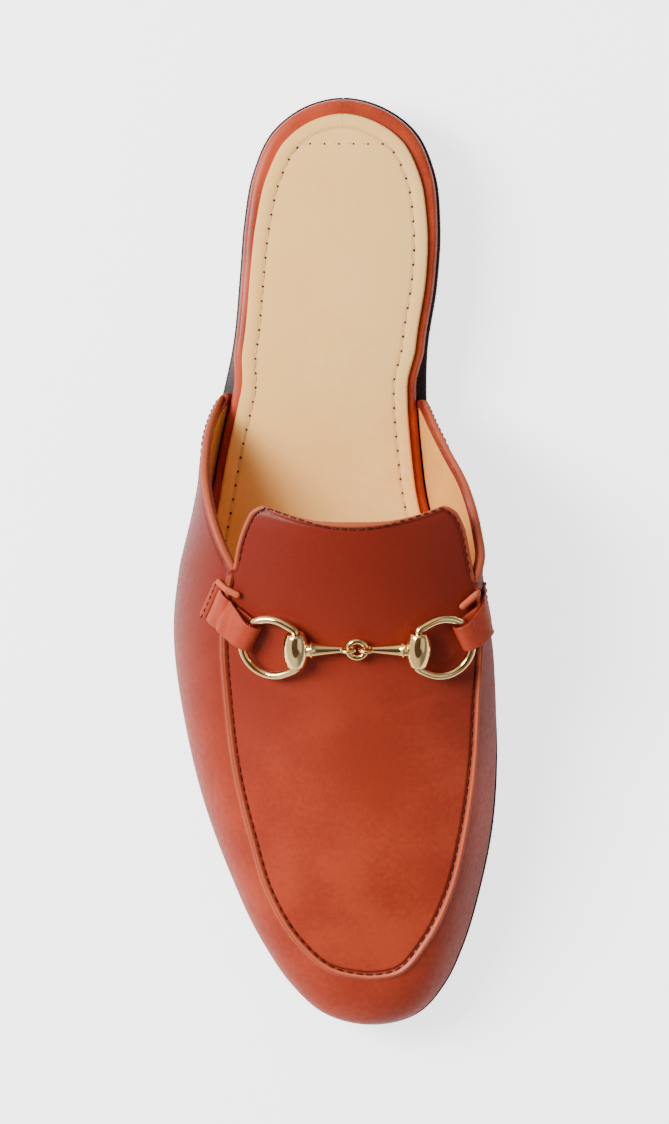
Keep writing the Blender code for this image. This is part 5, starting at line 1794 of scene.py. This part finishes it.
def make_ring(side):
    """One D-ring as a bevelled wire: straight through the barrel, round outside it."""
    barrel, ahead, up = bits[side][1:]
    across = up.cross(ahead)
    bend_x, bend_y = RING_RADIUS * math.cos(RING_BEND), RING_RADIUS * math.sin(RING_BEND)
    edge = np.array([RING_SETBACK + bend_x, bend_y])
    slope = np.array([-math.sin(RING_BEND), math.cos(RING_BEND)])
    corner = edge + slope * (edge[0] / -slope[0])
    straight = np.array([0.0, BARREL_LENGTH / 2 + GAP])
    flat = [(0.0, 0.0)]
    for share in np.arange(RING_BEND_POINTS) / RING_BEND_POINTS:
        bend = straight * (1 - share) ** 2 + 2 * corner * share * (1 - share) + edge * share**2
        flat.append(bend)
    for angle in np.linspace(RING_BEND, 0.0, RING_ROUND_POINTS):
        flat.append((RING_SETBACK + RING_RADIUS * math.cos(angle), RING_RADIUS * math.sin(angle)))
    flat += [(x, -y) for x, y in flat[1:-1]][::-1]
    curve = bpy.data.curves.new("bit_ring_" + side, "CURVE")
    curve.dimensions = "3D"
    curve.bevel_depth = RING_WIRE
    curve.bevel_resolution = RING_BEVEL
    spline = curve.splines.new("POLY")
    spline.points.add(len(flat) - 1)
    for target, (x, y) in zip(spline.points, flat):
        target.co = (*(barrel + ahead * float(x) + across * float(y)), 1.0)
    spline.use_cyclic_u = True
    spline.use_smooth = True
    curve.materials.append(bit_gold)
    obj = add_object("bit_ring_" + side, curve)
    return finish_piece(bake(obj), "bit_metal", "ring_" + side)


for side in bits:
    make_ring(side)


# %% [markdown]
# ## Straps, keepers and bars
#
# Each ring is held by a short strap that comes out of a slit in the quarter, goes over the wire and
# back under itself. It is a ribbon along one path, with its edges rounded and dyed darker where the
# leather was cut. Outside the slit a narrow keeper is stitched down. Across the foot of each notch a
# short rounded bar ties quarter to tongue.


# %% Ribbons
ACROSS = 21
EDGE_ROUNDING = 0.45
CUT_EDGE_DARK = 0.85
CUT_EDGE_START, CUT_EDGE_SLOPE = 0.45, 0.4


def ribbon(name, band, path, widths, thicknesses, rises, follow):
    """A strip with rounded edges along a path of (way, height) points."""
    path = np.array(path)
    ahead = np.gradient(path, axis=0)
    ahead /= np.linalg.norm(ahead, axis=1)[:, None]
    square = np.stack([-ahead[:, 1], ahead[:, 0]], axis=1)
    shares = np.sin(np.linspace(-math.pi / 2, math.pi / 2, ACROSS))
    rings = []
    for place, side, width, thickness, share in zip(path, square, widths, thicknesses, follow):
        offsets = shares * width / 2
        past = np.clip(1 - (width / 2 - np.abs(offsets)) / (EDGE_ROUNDING * thickness), 0, 1)
        halves = thickness / 2 * np.sqrt(1 - past**2)
        top = [band.at(*(place + side * h), o, rises * share) for o, h in zip(offsets, halves)]
        bottom = [band.at(*(place - side * h), o, rises * share) for o, h in zip(offsets, halves)]
        rings.append(top + bottom[::-1])
    return loft(name, rings)


def mark(obj, dark, wear_and_highlight):
    """Keeps how dark and how pale a strip is made: a number for all of it, or one for each vertex."""
    count = len(obj.data.vertices)
    point_values(obj, "dark", np.broadcast_to(dark, count))
    point_values(obj, "wear_and_highlight", np.broadcast_to(wear_and_highlight, count))


def mark_edges(obj, band_way):
    """Marks a ribbon's two cut edges, which face across the band, as dark."""
    normals = np.array([v.normal for v in obj.data.vertices])
    side = np.abs(normals @ np.array(band_way))
    mark(obj, CUT_EDGE_DARK * smooth_step((side - CUT_EDGE_START) / CUT_EDGE_SLOPE), 0.0)


STRAP_OUTER_POINTS = 7
STRAP_FOLD_STEP = 20


def strap_path(wire_height, wire_shift, length):
    """The strap's middle line: over the wire from the slit, round it and back under itself."""
    flat = STRAP_LIFT + STRAP_THICKNESS / 2
    second = flat + STRAP_THICKNESS + GAP
    turn = RING_WIRE + STRAP_EASE + STRAP_THICKNESS / 2
    rise_start, rise_end = STRAP_TUCK + STRAP_STEP_OUT, STRAP_TUCK + GAP
    path = [(way, flat) for way in np.linspace(length, rise_start, STRAP_OUTER_POINTS)]
    path += [((rise_start + rise_end) / 2, (flat + second) / 2), (rise_end, second)]
    top_turn = math.radians(STRAP_TOP_TURN)
    top = np.array([turn * math.sin(top_turn), wire_height + turn * math.cos(top_turn)])
    start = np.array(path[-1])
    path += [tuple(start + (top - start) * share) for share in UNDER_SHARES[:-1]]
    for degrees in (STRAP_TOP_TURN, STRAP_TOP_TURN / 2, 0):
        angle = math.radians(degrees)
        path.append((turn * math.sin(angle), wire_height + turn * math.cos(angle)))
    for degrees in range(STRAP_FOLD_STEP, 181, STRAP_FOLD_STEP):
        angle = math.radians(degrees)
        path.append((-wire_shift - turn * math.sin(angle), wire_height + turn * math.cos(angle)))
    path.append((0.0, max(flat, wire_height - turn)))
    return path + [(STRAP_TUCK * share, flat) for share in UNDER_SHARES]


STRAP_POINTS = 90
# The share of the path, under the ring, over which the strap leaves the wire's tilt for the leather's
STRAP_SETTLE = 0.16
# At the slit the strap dives into the quarter: how deep, and over which length
SLIT_DIVE = 0.0007
SLIT_DIVE_LENGTH = 0.0022


def make_strap(side):
    wire, band = strap_band(bits[side])
    start, height = band.sections[BAND_SECTIONS // 2].nearest(wire)
    shift = RING_RADIUS - math.sqrt(RING_RADIUS**2 - (STRAP_WIDTH_AT_RING / 2) ** 2)
    middle_line = smooth_curve(strap_path(height, shift, STRAP_LENGTH - start))
    path = middle_line(np.linspace(0.0, 1.0, STRAP_POINTS))
    share = np.clip(path[:, 0] / STRAP_LENGTH, 0, 1)
    widths = STRAP_WIDTH_AT_RING + (STRAP_WIDTH_AT_SLIT - STRAP_WIDTH_AT_RING) * share
    thicknesses = np.full(len(path), STRAP_THICKNESS)
    follow = 1 - smooth_step((path[:, 0] - STRAP_TUCK) / STRAP_STEP_OUT)
    last = len(path) - int(len(path) * STRAP_SETTLE)
    follow[last:] = follow[last:] * np.linspace(1, 0, len(path) - last)
    near_slit = path[:, 0] - (STRAP_LENGTH - start - SLIT_DIVE_LENGTH)
    path[:, 1] -= SLIT_DIVE * smooth_step(near_slit / SLIT_DIVE_LENGTH)
    path[:, 0] += start
    rises = band.heights(wire) - height
    obj = ribbon("strap_tab_" + side, band, path, widths, thicknesses, rises, follow)
    mark_edges(obj, band.across)
    obj.data.materials.append(strap_leather)
    return finish_piece(obj, "upper_leather", "strap_" + side), band


KEEPER_WIDTH = 0.0027
KEEPER_RISE = 0.0007
KEEPER_SUNK = 0.0003
KEEPER_OVERHANG = 0.0007
KEEPER_PLACE = STRAP_LENGTH + 0.0004 + KEEPER_WIDTH / 2
KEEPER_DARK = 0.25
SLIT_PLACE = STRAP_LENGTH + 0.0001
SLIT_WIDTH = 0.0012
SLIT_RISE = 0.00016
SLIT_SUNK = 0.0002
# Points along and round each of them, how flat their backs are, and the least share of an end ring
KEEPER_RINGS, KEEPER_RING_POINTS = 41, 20
BACK_FLATNESS = 0.6
LEAST_END = 0.05
KEEPER_STITCH_INSET = 0.0008
KEEPER_STITCH_LIFT = 0.00002
KEEPER_STITCH_POINTS = 40


def long_bead(name, band, centre, width, rise, sunk, half):
    """A narrow strip across a band, round at both ends, with a flat raised back and a sunk foot."""
    level = np.zeros(BAND_SECTIONS)
    rings = []
    for offset in np.linspace(-half, half, KEEPER_RINGS):
        past = max(0.0, (abs(offset) - half + width / 2) / (width / 2))
        end = max(math.sqrt(max(0.0, 1 - past**2)), LEAST_END)
        ring = []
        for angle in np.linspace(0.0, 2 * math.pi, KEEPER_RING_POINTS, endpoint=False):
            upper = math.sin(angle) > 0
            flatness = abs(math.sin(angle)) ** BACK_FLATNESS * (1 if upper else -1)
            way = centre + math.cos(angle) * width / 2 * end
            ring.append(band.at(way, flatness * (rise if upper else sunk) * end, offset, level))
        rings.append(ring)
    return loft(name, rings)


def make_keeper(side, band):
    """The narrow strip stitched down outside the slit, and beside it a dark bead in the shadow material
    that paints the slit's shade.
    """
    half = STRAP_WIDTH_AT_SLIT / 2 + KEEPER_OVERHANG
    sizes = (KEEPER_PLACE, KEEPER_WIDTH, KEEPER_RISE, KEEPER_SUNK)
    keeper = long_bead("keeper_" + side, band, *sizes, half)
    mark(keeper, KEEPER_DARK, 0.0)
    keeper.data.materials.append(strap_leather)
    finish_piece(keeper, "upper_leather")
    # The slit is a low dark bead in the shadow material: painted shadow of the opening
    slit = long_bead("slit_shadow_" + side, band, SLIT_PLACE, SLIT_WIDTH, SLIT_RISE, SLIT_SUNK, half)
    slit.data.materials.append(needle_shadow)
    finish_piece(slit, "upper_leather")
    level, height = np.zeros(BAND_SECTIONS), KEEPER_RISE + KEEPER_STITCH_LIFT
    reach = half - KEEPER_STITCH_INSET
    offsets = np.linspace(-reach, reach, KEEPER_STITCH_POINTS)
    line = np.array([band.at(KEEPER_PLACE, height, offset, level) for offset in offsets])
    stitch_row("keeper_stitches_" + side, [line], "upper_leather", KEEPER_STITCH)


TIE_POINTS = 30
TIE_ROUND_START = 0.82
TIE_LEAST = 0.02
# How much paler the whole bar is made
TIE_LIGHTENING = 0.35


def make_notch_bar(side):
    """The short rounded bar across the foot of a notch."""
    ends = [below(x * BALL_WIDTH, y * LENGTH) for x, y in NOTCH_BAR_ENDS[side]]
    (outer, outer_normal), (inner, inner_normal) = ends
    normal = (outer_normal + inner_normal).normalized()
    along = outer - inner
    along = (along - normal * along.dot(normal)).normalized()
    band = Band(inner, along, normal, BAR_WIDTH)
    length = (outer - inner).length
    shares = (1 - np.cos(np.linspace(0.0, math.pi, TIE_POINTS))) / 2
    past = np.clip(np.abs(2 * shares - 1) - TIE_ROUND_START, 0, 1) / (1 - TIE_ROUND_START)
    round_end = np.sqrt(np.clip(1 - past**2, TIE_LEAST, 1))
    path = [(length * s, STRAP_LIFT + BAR_THICKNESS / 2 * r) for s, r in zip(shares, round_end)]
    widths, thicknesses = BAR_WIDTH * round_end, BAR_THICKNESS * round_end
    level, follow = np.zeros(BAND_SECTIONS), np.zeros(len(path))
    obj = ribbon("notch_tie_" + side, band, path, widths, thicknesses, level, follow)
    mark(obj, 0.0, TIE_LIGHTENING)
    obj.data.materials.append(strap_leather)
    return finish_piece(obj, "upper_leather", "notch_bar_" + side)


for side in bits:
    strap, strap_strip = make_strap(side)
    make_keeper(side, strap_strip)
    make_notch_bar(side)

# %% [markdown]
# ## Floor, light and camera
#
# The shoe stands on a pale, seamless floor. One large soft light comes from its outer side and a little
# from above, so that the shadow falls softly on the inner side. A second, weaker light opens the
# shadows. The polished bit needs something dark to reflect as well, so the surroundings are bright in a
# ring and dim overhead. The camera looks down from a metre and a half, with a long lens, its top
# towards the heel.


# %% Floor
# The floor glows as a lit table does. Most of that glow is for the eye only, so that it stays near
# white and yet doesn't light the shoe from below.
FLOOR_GLOW = 0.25
FLOOR_GLOW_SEEN = 2.1
FLOOR_WHITE = srgb(250, 250, 250)
FLOOR_ROUGHNESS = 0.9
FLOOR_REACH = 3.0
FLOOR_DROP = 0.0001


def make_floor():
    corners = [(x * FLOOR_REACH, y * FLOOR_REACH, 0) for x, y in ((-1, -1), (1, -1), (1, 1), (-1, 1))]
    floor = mesh_object("floor", corners, [(0, 1, 2, 3)])
    material, tree, shader = start_material("pale_floor")[:3]
    feed(tree, shader.inputs["Base Color"], FLOOR_WHITE)
    feed(tree, shader.inputs["Roughness"], FLOOR_ROUGHNESS)
    feed(tree, shader.inputs["Emission Color"], (1.0, 1.0, 1.0))
    seen = add_node(tree, "ShaderNodeLightPath").outputs["Is Camera Ray"]
    glow = math_node(tree, "MULTIPLY_ADD", seen, FLOOR_GLOW_SEEN, FLOOR_GLOW)
    tree.links.new(glow, shader.inputs["Emission Strength"])
    floor.data.materials.append(material)
    floor.location.z = -FLOOR_DROP
    floor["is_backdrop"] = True


make_floor()


# %% Lights
# Columns: name, place, width and height (metres), power (watts), colour
LIGHTS = [
    ("soft_key", (0.75, -0.25, 0.95), (0.45, 0.7), 29.0, (1.0, 0.985, 0.96)),
    ("soft_fill", (-0.9, 0.3, 1.0), (0.9, 0.9), 1.5, (0.96, 0.98, 1.0)),
]
LIGHT_TARGET = Vector((0.0, 0.0, 0.02))


def area_light(name, place, size, power, colour):
    light = bpy.data.lights.new(name, "AREA")
    light.shape = "RECTANGLE"
    light.size, light.size_y = size
    light.energy = power
    light.color = colour
    obj = add_object(name, light)
    obj.location = place
    obj.rotation_euler = (LIGHT_TARGET - Vector(place)).to_track_quat("-Z", "Y").to_euler()


for light_row in LIGHTS:
    area_light(*light_row)


# %% Surroundings
RING_TONE = (0.95, 0.95, 0.95)
INNER_SIDE_TONE = (0.24, 0.26, 0.28)
INNER_SIDE_EDGE = (0.1, -0.5)
# The dark card overhead: the way to its middle, where its edge fades, and its tone
DARK_CARD = (0.0, 0.36, 0.93)
DARK_CARD_EDGE = (0.78, 0.84)
DARK_CARD_TONE = (0.10, 0.075, 0.06)


def build_world():
    """A sky that is bright in a ring, dim overhead towards the toe, weaker on the inner side."""
    world = bpy.data.worlds.new("studio")
    bpy.context.scene.world = world
    world.use_nodes = True
    tree = world.node_tree
    background = tree.nodes["Background"]
    coordinates = add_node(tree, "ShaderNodeTexCoord")
    split = add_node(tree, "ShaderNodeSeparateXYZ")
    tree.links.new(coordinates.outputs["Generated"], split.inputs["Vector"])
    card = add_node(tree, "ShaderNodeVectorMath", operation="DOT_PRODUCT")
    tree.links.new(coordinates.outputs["Generated"], card.inputs[0])
    card.inputs[1].default_value = DARK_CARD
    overhead = remap(tree, card.outputs["Value"], *DARK_CARD_EDGE)
    inner_side = remap(tree, split.outputs["X"], *INNER_SIDE_EDGE)
    ring = mix_colour(tree, inner_side, RING_TONE, INNER_SIDE_TONE)
    tree.links.new(mix_colour(tree, overhead, ring, DARK_CARD_TONE), background.inputs["Color"])


build_world()


# %% Camera
CAMERA_PLACE = Vector((-0.0516, 0.0009, 1.5))
CAMERA_TARGET = Vector((0.0, 0.0, 0.03))
CAMERA_LENS, CAMERA_SENSOR = 171.0, 36.0
CAMERA_CLIP = (0.1, 10.0)


def make_camera():
    data = bpy.data.cameras.new("camera")
    data.sensor_width = CAMERA_SENSOR
    data.lens = CAMERA_LENS
    data.clip_start, data.clip_end = CAMERA_CLIP
    camera = add_object("camera", data)
    back = (CAMERA_PLACE - CAMERA_TARGET).normalized()
    up = Vector((0.0, -1.0, 0.0))
    up = (up - back * up.dot(back)).normalized()
    turn = Matrix((up.cross(back), up, back)).transposed().to_4x4()
    camera.matrix_world = Matrix.Translation(CAMERA_PLACE) @ turn
    bpy.context.scene.camera = camera


make_camera()

# %% [markdown]
# ## Sizes and finish
#
# The last cell keeps the size of the solids and of the dressed shoe side by side and prints them.

# %% Finish
new_low, new_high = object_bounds()
sizes = {
    "cad": [list(cad_low), list(cad_high)],
    "visual": [list(new_low), list(new_high)],
}
for label, (low, high) in sizes.items():
    print(label, "in mm:", [round((h - l) * 1000, 2) for l, h in zip(low, high)])
